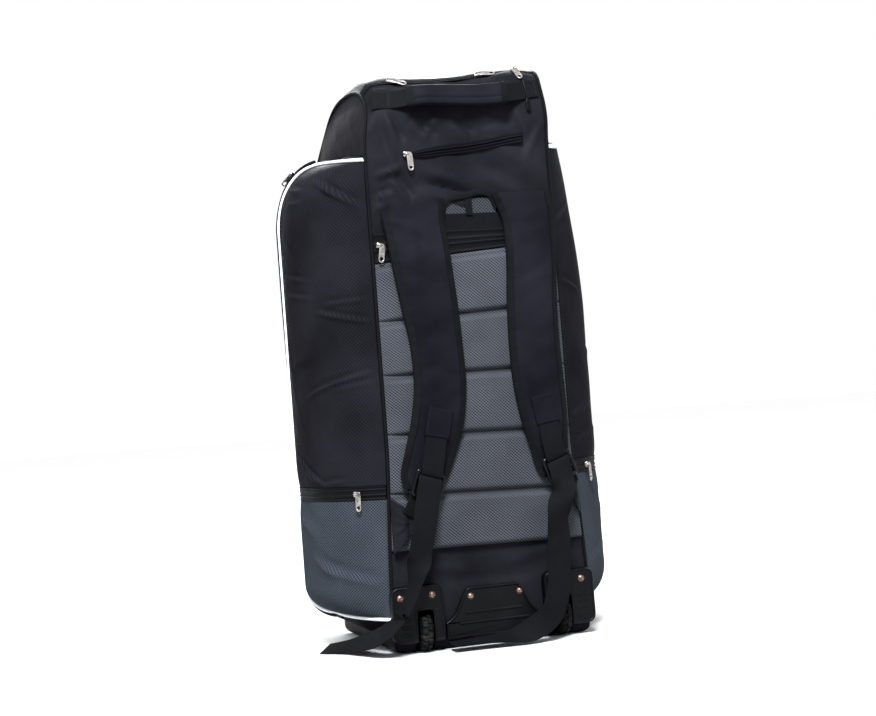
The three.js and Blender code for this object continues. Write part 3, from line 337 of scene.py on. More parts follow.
# Grid, sweep and plate shapes, all as whole arrays
def ease(x, low, high):  # smooth step: 3s^2 - 2s^3 between low and high
    s = np.clip((np.asarray(x, float) - low) / (high - low), 0, 1)
    return s * s * (3 - 2 * s)


def mix(a, b, s):  # straight from a to b by the share s
    return a + (b - a) * s


def unit(v):  # each vector divided by its length
    return v / np.maximum(np.linalg.norm(v, axis=-1, keepdims=True), 1e-9)


def facing(points):  # normals of a grid: slope along its columns crossed with slope along its rows
    return unit(np.cross(np.gradient(points, axis=1), np.gradient(points, axis=0)))


def gridShell(points, keep=None, lay=None):
    # faces of a grid of points, with cloth coordinates measured along its rows and columns unless given
    rows, columns = points.shape[:2]
    index = np.arange(rows * columns).reshape(rows, columns)
    quads = np.stack([index[:-1, :-1], index[:-1, 1:], index[1:, 1:], index[1:, :-1]], -1)
    quads = quads.reshape(-1, 4) if keep is None else quads[keep]
    if lay is None:
        across = np.linalg.norm(np.diff(points, axis=1), axis=2).mean(0)
        along = np.linalg.norm(np.diff(points, axis=0), axis=2).mean(1)
        lay = np.stack(np.meshgrid(np.r_[0, np.cumsum(across)], np.r_[0, np.cumsum(along)]), -1)
    return points.reshape(-1, 3), quads.tolist(), lay.reshape(-1, 2)


def sweepShell(profile, centres, side, out, caps=True):
    # a closed profile carried along a path: centre + side * across + out * height
    loop = np.vstack([profile, profile[:1]])
    points = centres[:, None] + loop[None, :, :1] * side[:, None] + loop[None, :, 1:] * out[:, None]
    if caps:
        ends = [np.broadcast_to(centres[k], points[:1].shape) for k in (0, -1)]
        points = np.concatenate([ends[0], points, ends[1]])
    return gridShell(points)


def oval(width, height, count, power=2.0):  # superellipse: |x|^power + |y|^power = 1, scaled
    angle = np.arange(count) * 2 * np.pi / count
    c, s = np.cos(angle), np.sin(angle)
    return np.stack([width / 2 * np.sign(c) * np.abs(c) ** (2 / power),
                     height / 2 * np.sign(s) * np.abs(s) ** (2 / power)], 1)


def tubeShell(centres, radius, sides=10, reference=(1, 0, 0), closed=False):
    # a circle carried along a path; the reference direction keeps it from turning
    centres = np.asarray(centres, float)
    if closed:
        tangent = unit(np.roll(centres, -1, 0) - np.roll(centres, 1, 0))
        centres, tangent = np.vstack([centres, centres[:1]]), np.vstack([tangent, tangent[:1]])
    else:
        tangent = unit(np.gradient(centres, axis=0))
    side = unit(np.cross(tangent, np.asarray(reference, float)))
    return sweepShell(oval(2 * radius, 2 * radius, sides), centres, side, np.cross(tangent, side), not closed)


def padShell(top, bottom):
    # closed pad between two grids: over the top, back along the bottom, pinched shut at both ends
    wall = np.concatenate([top, bottom[:, ::-1], top[:, :1]], 1)
    shut = np.concatenate([bottom, bottom[:, ::-1], bottom[:, :1]], 1)
    return gridShell(np.concatenate([shut[:1], wall, shut[-1:]]))


def plateShell(edge, rings, place):
    # moulded plate: its edge line drawn in by each ring's inset, at that ring's height, then a flat face
    ahead = unit(np.roll(edge, -1, 0) - np.roll(edge, 1, 0))
    inward = np.stack([-ahead[:, 1], ahead[:, 0]], 1)
    lines = np.stack([np.column_stack([edge + inward * inset, np.full(len(edge), height)])
                      for inset, height in rings])
    lines = np.concatenate([lines, lines[:, :1]], 1)
    verts, faces, _ = gridShell(place(lines))
    columns = len(edge) + 1
    last = (len(rings) - 1) * columns
    faces = faces + [list(range(last, last + len(edge))), list(range(len(edge) - 1, -1, -1))]
    return verts, faces, lines[..., :2].reshape(-1, 2)


def roundedLine(corners, steps=7):
    # closed line through (x, z, radius) corners, each rounded by a quadratic curve
    spots = np.array([corner[:2] for corner in corners], float)
    radii = np.array([corner[2] for corner in corners], float)[:, None]
    before = spots + unit(np.roll(spots, 1, 0) - spots) * radii
    after = spots + unit(np.roll(spots, -1, 0) - spots) * radii
    s = np.linspace(0, 1, steps)[None, :, None]
    line = (1 - s) ** 2 * before[:, None] + 2 * s * (1 - s) * spots[:, None] + s ** 2 * after[:, None]
    return line.reshape(-1, 2)


def roundedBox(half, tall, radius, steps=7):  # four equal corners at plus and minus both halves
    return roundedLine([(-half, -tall, radius), (half, -tall, radius), (half, tall, radius),
                        (-half, tall, radius)], steps)


def catmull(rows, count):
    # centripetal Catmull-Rom: each span is a cubic whose end slopes come from the rows on either side
    rows = np.asarray(rows, float)
    ends = np.vstack([2 * rows[0] - rows[1], rows, 2 * rows[-1] - rows[-2]])
    place = np.linspace(0, len(rows) - 1, count)
    span = np.minimum(place.astype(int), len(rows) - 2)
    s = (place - span)[:, None]
    p0, p1, p2, p3 = (ends[span + k] for k in range(4))
    d0, d1, d2 = (np.maximum(np.linalg.norm(b - a, axis=1, keepdims=True), 1e-6) ** 0.5
                  for a, b in ((p0, p1), (p1, p2), (p2, p3)))
    s1 = ((p1 - p0) / d0 - (p2 - p0) / (d0 + d1) + (p2 - p1) / d1) * d1
    s2 = ((p2 - p1) / d1 - (p3 - p1) / (d1 + d2) + (p3 - p2) / d2) * d1
    return p1 + s1 * s + (3 * (p2 - p1) - 2 * s1 - s2) * s ** 2 + (2 * (p1 - p2) + s1 + s2) * s ** 3


def creases(a, b, table):
    # folds of cloth: each a ridge (or a valley) along a line, fading at both ends of it
    total = np.zeros(np.broadcast(a, b).shape)
    for a0, b0, a1, b1, width, height in table:
        line = np.array([a1 - a0, b1 - b0], float)
        length = np.hypot(*line)
        line /= length
        s = ((a - a0) * line[0] + (b - b0) * line[1]) / length
        off = (b - b0) * line[0] - (a - a0) * line[1]
        fade = ease(s, -0.25, 0.3) * (1 - ease(s, 0.7, 1.25))
        ridge = np.exp(-np.abs(off / width) ** 1.4) - 0.55 * np.exp(-((off + 1.6 * width) / width) ** 2)
        total += 1.7 * height * fade * ridge
    return total


def ripples(a, b, size, height, seed):
    # soft unevenness: eight sine waves in seeded directions
    draw = np.random.default_rng(seed)
    turn, phase = draw.uniform(0, np.pi, 8), draw.uniform(0, 2 * np.pi, 8)
    length = size * draw.uniform(0.6, 1.7, 8)
    a, b = np.asarray(a)[..., None], np.asarray(b)[..., None]
    return height / 3 * np.sin(2 * np.pi * (a * np.cos(turn) + b * np.sin(turn)) / length + phase).sum(-1)


def mirrorShell(shell):  # x turned over, and each face the other way round
    verts, faces, lay = shell
    return verts * (-1, 1, 1), [face[::-1] for face in faces], lay


# The soft top leans: it shifts sideways and its right side stands higher; all heights count from below it
lean = {"floor": -8, "shift": 4.5, "shiftFrom": 775, "shiftTo": 850,
        "rise": 15, "reach": 150, "riseFrom": 690, "riseTo": 790}


def standing(points):  # shift by height, rise by distance to the right and height, then up to the floor
    x, y, z = points[..., 0], points[..., 1], points[..., 2]
    rise = lean["rise"] * ease(x, 0, lean["reach"]) * ease(z, lean["riseFrom"], lean["riseTo"])
    shift = lean["shift"] * ease(z, lean["shiftFrom"], lean["shiftTo"])
    return np.stack([x + shift, y, z + rise - lean["floor"]], -1)


def piece(name, shells, finish, stands=(), body="bag", wall=0.0, closed=False, sharp=50):
    # joins shells into one mesh, closes its seams and poles, and hangs it on its body
    counts = np.cumsum([0] + [len(shell[0]) for shell in shells])
    verts = standing(np.concatenate([shell[0] for shell in shells])) * mm
    faces = [[k + start for k in face] for shell, start in zip(shells, counts) for face in shell[1]]
    lay = np.concatenate([shell[2] for shell in shells]) * mm
    mesh = bpy.data.meshes.new(name)
    mesh.from_pydata(verts.tolist(), [], faces)
    corners = np.zeros(len(mesh.loops), int)
    mesh.loops.foreach_get("vertex_index", corners)
    mesh.uv_layers.new(name="lay").data.foreach_set("uv", lay[corners].astype(np.float32).ravel())
    work = bmesh.new()
    work.from_mesh(mesh)
    bmesh.ops.remove_doubles(work, verts=work.verts, dist=2e-6)
    bmesh.ops.dissolve_degenerate(work, edges=work.edges, dist=1e-6)
    if closed:
        bmesh.ops.recalc_face_normals(work, faces=work.faces)
    work.to_mesh(mesh)
    work.free()
    mesh.polygons.foreach_set("use_smooth", np.ones(len(mesh.polygons), bool))
    mesh.set_sharp_from_angle(angle=math.radians(sharp))
    mesh.materials.append(finish)
    made = bpy.data.objects.new(name, mesh)
    bpy.context.scene.collection.objects.link(made)
    if wall:
        thick = made.modifiers.new("wall", "SOLIDIFY")
        thick.thickness, thick.offset = wall * mm, -1
    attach(made, body)
    if stands:
        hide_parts(*stands)
    return made


# Main body: one outline in Y and Z, in six legs, and a width that follows the height
bodyShape = {
    "halfWidth": 152, "halfDepth": 150, "footFlare": 10, "topTaper": 8, "corner": 14,
    "shoulder": 780, "top": 905, "backRound": 0.8, "boxyRound": 1.0, "boxyFrom": -0.6, "frontRound": 0.6,
    "frontSpread": 17, "topSwell": 2, "leftSwell": 7, "seamDip": 8,
    "flareFade": (60, 330), "taperFade": (800, 880),
    # places along the outline: where the top starts and ends, and where its pieces meet
    "topStarts": (2.1, 2.5), "topEnds": (3.3, 4), "backEnd": 2.558, "zipEnds": (2.556, 2.645),
    "flapEnds": (2.642, 4.02),
    "crownAt": [0, 1.12, 1.5, 2, 2.5, 3, 4, 4.6, 5, 6],
    "crown": [0, 0, 5, 6, 10, 18, 16, 14, 3, 0],
}


def roundCut(radius, distance):  # what a quarter circle cuts off, radius - (radius^2 - inside^2)^0.5
    inside = np.clip(radius - distance, 0, radius)
    return radius - np.sqrt(radius ** 2 - inside ** 2)


def outline(t, u):
    # legs of the outline: corner arc, back wall, two Bezier arcs over the top, front wall, corner arc;
    # the arc over the back is rounder on the left and boxier on the right
    t, u = np.broadcast_arrays(np.asarray(t, float), np.asarray(u, float))
    depth, corner, low, top = (bodyShape[k] for k in ("halfDepth", "corner", "shoulder", "top"))
    leg = np.clip(np.floor(t), 0, 5).astype(int)
    s = t - leg
    rise, foot = top - low, lean["floor"] + corner
    back = mix(bodyShape["backRound"], bodyShape["boxyRound"], ease(u, bodyShape["boxyFrom"], 1))
    front = bodyShape["frontRound"]

    def bezier(p0, p1, p2, p3):
        point = (1 - s) ** 3 * p0 + 3 * s * (1 - s) ** 2 * p1 + 3 * s * s * (1 - s) * p2 + s ** 3 * p3
        slope = 3 * (1 - s) ** 2 * (p1 - p0) + 6 * s * (1 - s) * (p2 - p1) + 3 * s * s * (p3 - p2)
        return point, slope

    turn0, turn5 = -np.pi / 2 * (1 + s), -np.pi / 2 * s
    y2, dy2 = bezier(-depth, -depth, -depth * back, 0)
    z2, dz2 = bezier(low, low + back * rise, top, top)
    y3, dy3 = bezier(0, depth * front, depth, depth)
    z3, dz3 = bezier(top, top, low + front * rise, low)
    flat = np.ones_like(s)
    y = np.choose(leg, [corner - depth + corner * np.cos(turn0), -depth * flat, y2, y3, depth * flat,
                        depth - corner + corner * np.cos(turn5)])
    z = np.choose(leg, [foot + corner * np.sin(turn0), mix(foot, low, s), z2, z3, mix(low, foot, s),
                        foot + corner * np.sin(turn5)])
    ny = np.choose(leg, [np.cos(turn0), -flat, -dz2, -dz3, flat, np.cos(turn5)])
    nz = np.choose(leg, [np.sin(turn0), 0 * flat, dy2, dy3, 0 * flat, np.sin(turn5)])
    length = np.hypot(ny, nz)
    return y, z, ny / length, nz / length


def halfWidth(z, y=-bodyShape["halfDepth"]):
    # half the body's width: flared at the foot, tapered at the top, wider towards the front
    spread = bodyShape["frontSpread"] * (y + bodyShape["halfDepth"]) / (2 * bodyShape["halfDepth"])
    return (bodyShape["halfWidth"] + bodyShape["footFlare"] * (1 - ease(z, *bodyShape["flareFade"])) + spread
            - bodyShape["topTaper"] * ease(z, *bodyShape["taperFade"])
            - roundCut(bodyShape["corner"], z - lean["floor"]))


def overTop(t):  # 1 over the top, 0 below the shoulders
    return ease(t, *bodyShape["topStarts"]) * (1 - ease(t, *bodyShape["topEnds"]))


def strip(u, t, lift=0.0):
    # the long strip of cloth: u from -1 to 1 across, t along the outline, crowned by 1 - u^2;
    # the top also swells by 1 - u^4, and stands above its left seam, which dips
    y, z, ny, nz = outline(t, u)
    left = bodyShape["leftSwell"] * ease(-u, 0.2, 0.8)
    dip = (bodyShape["leftSwell"] + bodyShape["seamDip"]) * ease(-u, 0.9, 1)
    swell = overTop(t) * (bodyShape["topSwell"] * (1 - u ** 4) + left - dip)
    out = np.interp(t, bodyShape["crownAt"], bodyShape["crown"]) * (1 - u * u) + swell + lift
    return np.stack(np.broadcast_arrays(u * halfWidth(z, y), y + ny * out, z + nz * out), -1)


def backT(z, u):  # place along the outline of a height on the back, halving the arc until it is found
    low, foot = bodyShape["shoulder"], lean["floor"] + bodyShape["corner"]
    below, above = np.full(np.shape(z), 2.0), np.full(np.shape(z), 3.0)
    for _ in range(24):
        middle = (below + above) / 2
        under = outline(middle, u)[1] < z
        below, above = np.where(under, middle, below), np.where(under, above, middle)
    return np.where(z <= low, 1 + (z - foot) / (low - foot), below)


def onBack(x, z, lift=0.0):  # point of the back at x and a height, raised along its normal
    x, z = np.broadcast_arrays(np.asarray(x, float), np.asarray(z, float))
    u = x / halfWidth(z)
    t = backT(z, u)
    return strip(x / halfWidth(z, outline(t, u)[0]), t, lift)


backCloth = {
    "across": 96, "wall": 2.0, "baseWall": 3.0, "baseIn": 0.5,
    "ripple": 1.9, "rippleSize": 85, "calm": (120, 420),
    # x, z to x, z, width, height
    "creases": [
        (-122, 842, -104, 780, 7, 3.0), (-108, 838, -92, 800, 6, -3.4), (-66, 834, -40, 806, 9, -3.0),
        (-34, 834, -54, 804, 8, 1.8), (-4, 834, 24, 806, 9, -3.0), (34, 836, 76, 818, 8, 1.8),
        (52, 826, 92, 816, 9, -2.8), (98, 834, 122, 786, 7, 2.6), (-142, 742, -98, 753, 6, 3.2),
        (-140, 728, -128, 702, 5, 3.2), (-143, 716, -116, 724, 6, -3.4), (-104, 744, -82, 712, 7, -3.2),
        (76, 772, 134, 734, 10, 2.8), (40, 756, 124, 712, 11, -3.6), (-60, 746, 12, 724, 10, 2.8),
        (-62, 730, 20, 708, 9, -3.2), (-146, 690, -120, 700, 7, 2.4), (146, 806, 118, 760, 7, 2.6),
        (-120, 128, -40, 112, 10, 1.5), (30, 118, 110, 136, 11, 1.6), (-70, 100, 60, 96, 9, -1.2),
    ],
    "wellAt": 115, "wellHalf": 14.5, "wellTop": 66, "wellBack": -102.5,
}
topCloth = {"ripple": 2.4, "rippleSize": 150, "calm": (-80, 0), "creases": [
    (-90, 300, 70, 330, 22, 3.0), (-60, 210, 100, 180, 20, 2.4), (20, 90, 110, 130, 18, -2.4),
    (-120, 60, -20, 40, 16, 2.0)]}
frontCloth = {"ripple": 3.0, "rippleSize": 210, "calm": (0, 120), "creases": [
    (-110, 640, 60, 600, 20, 3.0), (-30, 430, 120, 470, 22, 3.2), (-120, 260, 20, 300, 20, -2.8),
    (-60, 140, 110, 170, 16, 2.4)]}


def clothStrip(t, spec, lower):
    # strip of the body, displaced by creases (x by height or by distance round the top) and ripples
    u, tt = np.meshgrid(np.linspace(-1, 1, backCloth["across"] + 1), t)
    base = strip(u, tt)
    x, b = base[..., 0], base[..., 2] if lower else base[..., 1] + bodyShape["halfDepth"]
    fade = (1 - u ** 8) * ease(base[..., 2], 20, 90)
    calm = ease(b, *spec["calm"])
    lift = creases(x, b, spec["creases"]) + ripples(x, b, spec["rippleSize"], spec["ripple"], 3) * calm
    return strip(u, tt, lift * fade)


def clearOfWells(points, axis, limit):  # faces to keep: those whose middle is outside both wheel wells
    middle = (points[:-1, :-1] + points[1:, 1:]) / 2
    beside = np.abs(np.abs(middle[..., 0]) - backCloth["wellAt"]) < backCloth["wellHalf"]
    return ~(beside & (middle[..., axis] < limit))


def buildBody():
    # the strip in three lengths, and a flat base inside its corner arcs
    wall = backCloth["wall"]
    t = np.r_[np.linspace(0, 1, 12, endpoint=False), np.linspace(1, 2, 170, endpoint=False),
              np.linspace(2, bodyShape["backEnd"], 46)]
    points = clothStrip(t, backCloth, True)
    keep = clearOfWells(points, 2, backCloth["wellTop"])
    piece("back_cloth", [gridShell(points, keep)], bagCloth, ["back_panel"], wall=wall)
    points = clothStrip(np.linspace(*bodyShape["flapEnds"], 90), topCloth, False)
    piece("top_cloth", [gridShell(points)], bagCloth, ["top_flap"], wall=wall)
    t = np.r_[np.linspace(bodyShape["flapEnds"][1], 5, 90, endpoint=False), np.linspace(5, 6, 12)]
    points = clothStrip(t, frontCloth, True)
    piece("front_cloth", [gridShell(points)], bagCloth, ["front_panel"], wall=wall)
    edge = bodyShape["halfDepth"] - bodyShape["corner"]
    s, y = np.meshgrid(np.linspace(1, -1, 61), np.linspace(-edge, edge, 50))
    half = halfWidth(lean["floor"], y) - backCloth["baseIn"]
    points = np.stack([s * half, y, 0 * y + lean["floor"]], -1)
    keep = clearOfWells(points, 1, backCloth["wellBack"])
    piece("base_cloth", [gridShell(points, keep)], bagCloth, ["base_panel"],
          wall=backCloth["baseWall"])


sideCloth = {
    "inset": 1.2, "bulge": 4, "upperBulge": 12, "upperFrom": (740, 820), "fade": (830, 905), "footFade": 18,
    "creaseFade": (30, 120), "wall": 2.0, "ripple": 0.7, "rippleSize": 140,
    # y, z to y, z, width, height
    "creases": [(-120, 800, -60, 860, 9, 0.9), (-60, 800, 30, 870, 12, 1.0), (40, 800, 100, 850, 12, 1.0),
                (-100, 780, 60, 790, 9, -0.8), (80, 700, 140, 300, 14, 1.6)],
}


def sideBulge(y, z):
    # 4a(1 - a) across the depth, fuller above, fading to the top and the foot
    depth = bodyShape["halfDepth"]
    across = np.clip((y + depth) / (2 * depth), 0, 1)
    full = mix(sideCloth["bulge"], sideCloth["upperBulge"], ease(z, *sideCloth["upperFrom"]))
    return (full * 4 * across * (1 - across) * (1 - ease(z, *sideCloth["fade"]))
            * ease(z, lean["floor"], sideCloth["footFade"]))


def buildSides():
    # side panel: straight from the back of the outline to its front at each height, then bulged
    a, t = np.meshgrid(np.linspace(0, 1, 51), np.linspace(0.03, 2.96, 170))
    for side, u in (("left", -1), ("right", 1)):
        inset = sideCloth["inset"] + bodyShape["seamDip"] * overTop(t) * (u < 0)
        ends = [np.stack([y - ny * inset, z - nz * inset], -1)
                for y, z, ny, nz in (outline(t, u), outline(6 - t, u))]
        foot = mix(ends[0], ends[1], a[..., None])
        y, z = foot[..., 0], foot[..., 1]
        lift = creases(y, z, sideCloth["creases"])
        lift = lift + ripples(y, z, sideCloth["rippleSize"], sideCloth["ripple"], 5)
        x = halfWidth(z, y) + sideBulge(y, z) + lift * 4 * a * (1 - a) * ease(z, *sideCloth["creaseFade"])
        shell = gridShell(np.stack([x, y, z], -1))
        piece(f"side_cloth_{side}", [shell if u > 0 else mirrorShell(shell)], bagCloth,
              [f"side_panel_{side}"], wall=sideCloth["wall"])


buildBody()
buildSides()
print("body cloth made")

# Side pockets
pocket = {
    "back": -146, "front": 61, "bottom": 50, "top": 768, "topTilt": 0.143,
    "topCorner": 60, "bottomCorner": 40, "standOff": 3.8, "round": 3.0,
    "reach": {"left": 260, "right": 248}, "zipShift": {"left": 0, "right": 15},
    "topShare": {"left": 0.33, "right": 0.66}, "topFade": {"left": 105, "right": 260},
    "topCurve": {"left": 1, "right": 2}, "bottomShare": 0.565, "bottomFade": 43,
    "zipLow": 234, "zipHigh": 256, "waist": 4, "waistSpread": 24,
    "wall": 2.0, "netWall": 3.0, "ripple": 0.9, "rippleSize": 95,
    "columns": 101, "netColumns": 71, "bandColumns": 91, "turnOver": 105, "rowGap": 3,
    "pipingRadius": 2.75, "pipingOut": 3.0, "gussetFront": 45, "gussetTop": 1, "gussetBottom": 28,
    "gussetBulge": 5, "gussetClear": 1.0, "coilOut": 8.0, "coilAside": (1.4, -2.4), "coilTucks": (40, 90),
    "coilWide": 5.6, "coilDeep": 7.0, "coilRows": (62, -50),
    # share of the band's width, height, spread
    "welts": [(0.08, 1.4, 0.07), (0.36, 1.8, 0.09), (0.55, 0.9, 0.05), (0.74, 1.8, 0.09), (0.95, 1.4, 0.06)],
    # y, z to y, z, width, height
    "left": [(-84, 736, -140, 698, 4, 3.0), (-60, 742, -118, 716, 4, 1.8), (34, 732, -36, 727, 4, 1.6),
             (6, 709, -40, 709, 4, 1.4), (46, 597, -44, 587, 4, 1.8), (40, 568, -54, 558, 4, 1.6),
             (-78, 533, -146, 513, 4, 3.0), (-92, 546, -144, 550, 4, 2.2), (-44, 404, -146, 436, 4.5, 3.2),
             (-90, 408, -140, 418, 4, 1.4), (22, 303, -62, 258, 4, 2.6), (-60, 260, -98, 264, 4, 1.8),
             (-20, 640, 40, 660, 9, 1.2), (-60, 470, 30, 450, 9, 1.2), (-110, 660, -60, 600, 9, 1.2),
             (50, 500, 10, 380, 9, 1.0)],
    "right": [(-90, 690, -142, 660, 5, 1.8), (30, 640, -40, 610, 6, 0.9), (-100, 548, -144, 566, 5, 1.8),
              (20, 470, -70, 440, 6, 0.9), (-90, 366, -144, 338, 5, 2.0), (20, 330, -60, 316, 6, 0.9),
              (-100, 316, -140, 290, 5, 1.6)],
    "net": {"left": [(-50, 125, -142, 100, 8, 2.4), (-18, 142, -76, 116, 8, 1.8),
                     (40, 200, -30, 180, 12, 1.8)],
            "right": [(-60, 125, -142, 100, 8, 1.2), (20, 200, -50, 180, 12, 0.9)]},
}
seamPiping = {"from": 1.1, "to": 4.97, "rows": 260, "out": 1.4, "radius": 2.5}


def zipMiddle(side):  # half way between the band's edges, moved by that side's shift
    return (pocket["zipLow"] + pocket["zipHigh"]) / 2 + pocket["zipShift"][side]


def pocketPoint(p, z, folds, side):
    # face of a pocket, on the right side: it leaves the back seam steeply and flattens towards its
    # front edge, and its top and bottom close in along quarter circles
    front = pocket["front"] - roundCut(pocket["topCorner"], pocket["top"] - z)
    front = front - roundCut(pocket["bottomCorner"], z - pocket["bottom"])
    y = mix(pocket["back"], front, p)
    rise = 1 - (1 - (y - pocket["back"]) / (pocket["front"] - pocket["back"])) ** pocket["round"]
    ends = ((pocket["topFade"][side], pocket["top"] - z), (pocket["bottomFade"], z - pocket["bottom"]))
    domed, footed = (1 - roundCut(fade, distance) / fade for fade, distance in ends)
    share = mix(pocket["topShare"][side], 1, domed ** pocket["topCurve"][side])
    share = share * mix(pocket["bottomShare"], 1, footed)
    fromZip = (z - zipMiddle(side)) / pocket["waistSpread"]
    foot = halfWidth(z) + pocket["standOff"]
    x = foot + (pocket["reach"][side] - foot) * share * rise - pocket["waist"] * np.exp(-fromZip ** 2) * rise
    soft = creases(y, z, folds) + ripples(y, z, pocket["rippleSize"], pocket["ripple"], 11)
    calm = ease(p, 0.0, 0.06) * (1 - ease(p, 0.93, 1.0)) * ease(pocket["top"] - z, 0, 30)
    calm = calm * ease(z - pocket["bottom"], 0, 30) * (1 - 0.8 * np.exp(-fromZip ** 2 * 3))
    x = x + soft * calm
    tilt = pocket["topTilt"] * ((z - pocket["bottom"]) / (pocket["top"] - pocket["bottom"])) ** 3
    return np.stack(np.broadcast_arrays(x, y, z + tilt * (y - pocket["back"])), -1)


def pocketRim(side):
    # rim of the face: along its top, down its front edge with both corners, back along its bottom
    top, low = pocket["top"], pocket["bottom"]
    bends = np.linspace(np.pi / 2, 0, 24)
    drops = np.linspace(0, -np.pi / 2, 24)
    run = np.linspace(0, 1, 60)
    front = np.linspace(top - pocket["topCorner"], low + pocket["bottomCorner"], 110)[1:-1]
    p = np.r_[run[:-1], np.ones(24 + 108 + 24), run[-2::-1]]
    z = np.r_[np.full(59, top), top - pocket["topCorner"] * (1 - np.sin(bends)), front,
              low + pocket["bottomCorner"] * (1 + np.sin(drops)), np.full(59, low)]
    angle = np.r_[np.full(59, np.pi / 2), bends, np.zeros(108), drops, np.full(59, -np.pi / 2)]
    return pocketPoint(p, z, [], side), np.stack([0 * angle, np.cos(angle), np.sin(angle)], 1)


def gussetGrid(side):
    # gusset: straight from the side panel out to the rim, bulged by 4a(1 - a)
    edge, out = pocketRim(side)
    offset = pocket["pipingOut"]
    reach = np.where(out[:, 2] > 0, pocket["gussetTop"], pocket["gussetBottom"])
    y = edge[:, 1] + offset * out[:, 1] + pocket["gussetFront"] * np.maximum(out[:, 1], 0)
    z = edge[:, 2] + offset * out[:, 2] + reach * out[:, 2]
    foot = np.stack([halfWidth(z, y) + sideBulge(y, z) + pocket["gussetClear"], y, z], 1)
    a = np.linspace(0, 1, 25)[None, :, None]
    grid = foot[:, None] * (1 - a) + (edge + out * offset)[:, None] * a
    along = np.arange(len(edge))[:, None] * 4.0
    swell = pocket["gussetBulge"] * 4 * a[..., 0] * (1 - a[..., 0])
    swell = swell * (1 + 0.3 * np.sin(along / 37) + 0.2 * np.sin(along / 13 + 1))
    return grid + out[:, None] * swell[..., None]


def pocketShell(points):
    # cloth coordinates of a pocket face: distance round its middle row, found by depth, and height
    row = points[len(points) // 2]
    distance = np.r_[0, np.cumsum(np.linalg.norm(np.diff(row, axis=0), axis=1))]
    lay = np.stack([np.interp(points[..., 1], row[:, 1], distance), points[..., 2]], -1)
    return gridShell(points, lay=lay)


def weltBand(points, bumps):
    # band of cloth with raised welts: each bump is (share of the width, height, spread)
    share = np.linspace(0, 1, len(points))[:, None]
    lift = sum(height * np.exp(-((share - at) / spread) ** 2) for at, height, spread in bumps)
    return points + facing(points) * lift[..., None]


def buildPockets():
    # each pocket is shaped on the right side with its own values, and the left one is then turned over;
    # rows crowd together where a face turns in
    bend = 1 - np.cos(np.linspace(0, np.pi / 2, 50))
    wall, gap = pocket["wall"], pocket["rowGap"]
    for side in ("right", "left"):
        turned = mirrorShell if side == "left" else (lambda shell: shell)
        low, high = (pocket[key] + pocket["zipShift"][side] for key in ("zipLow", "zipHigh"))
        foot, head = pocket["bottom"] + pocket["bottomFade"], pocket["top"] - pocket["turnOver"]
        netLevels = np.r_[pocket["bottom"] + pocket["bottomFade"] * bend, np.linspace(foot + gap, low, 60)]
        faceLevels = np.r_[np.linspace(high, head - gap, 180),
                           pocket["top"] - pocket["turnOver"] * bend[::-1]]
        p, z = np.meshgrid(np.linspace(0, 1, pocket["columns"]), faceLevels)
        shell = pocketShell(pocketPoint(p, z, pocket[side], side))
        piece(f"pocket_cloth_{side}", [turned(shell)], ripstop, [f"pocket_face_{side}"], wall=wall)
        p, z = np.meshgrid(np.linspace(0, 1, pocket["netColumns"]), netLevels)
        shell = pocketShell(pocketPoint(p, z, pocket["net"][side], side))
        piece(f"pocket_net_{side}", [turned(shell)], pocketNet, [f"pocket_mesh_{side}"],
              wall=pocket["netWall"])
        p, z = np.meshgrid(np.linspace(0, 1, pocket["bandColumns"]), np.linspace(low, high, 40))
        shell = gridShell(weltBand(pocketPoint(p, z, [], side), pocket["welts"]))
        piece(f"pocket_band_{side}", [turned(shell)], zipTape, [f"pocket_zip_{side}"], wall=wall)
        shell = gridShell(gussetGrid(side))
        # the gusset takes the darker cloth: painted shade where light bounced up from the floor would
        # brighten it
        piece(f"gusset_cloth_{side}", [turned(shell)], darkToneAndShadeCloth, [f"pocket_gusset_{side}"],
              wall=wall)
        edge, out = pocketRim(side)
        run = slice(*pocket["coilRows"])
        coil = (edge + out * pocket["coilOut"])[run]
        coil[:, 0] += mix(*pocket["coilAside"], ease(np.arange(len(coil)), *pocket["coilTucks"]))
        along = np.tile((1.0, 0.0, 0.0), (len(coil), 1))
        coil = sweepShell(oval(pocket["coilWide"], pocket["coilDeep"], 14, 3), coil, along, out[run])
        piece(f"gusset_coil_{side}", [turned(coil)], zipTape, closed=True)
        rope = tubeShell(edge + out * pocket["pipingOut"], pocket["pipingRadius"], 12, (1, 0, 0))
        piece(f"piping_{side}", [turned(rope)], piping, [f"pocket_piping_{side}"], closed=True)
        sign = -1.0 if side == "left" else 1.0
        rows = np.linspace(seamPiping["from"], seamPiping["to"], seamPiping["rows"])
        seam = strip(np.full(len(rows), sign), rows, seamPiping["out"]) + (seamPiping["out"] * sign, 0, 0)
        rope = tubeShell(seam, seamPiping["radius"], 10, (1, 0, 0))
        piece(f"seam_piping_{side}", [rope], webbing, [f"edge_piping_{side}"], closed=True)


buildPockets()
print("side pockets made")

# Back: quilted pad, zips and the yoke between the straps
pad = {"seams": [149, 236, 330, 427, 521, 616], "tilts": [-0.02, -0.033, -0.025, 0, 0.055, 0.08],
       "tiltAt": 12, "edge": 3.4, "loft": 7.6, "margin": 1.0, "lift": 0.8, "turn": 9.0, "flat": (7.0, 14.0),
       "groove": 2.2, "grooveWidth": 2.0, "ripple": 0.5, "rippleSize": 60, "across": 61, "rows": 401}


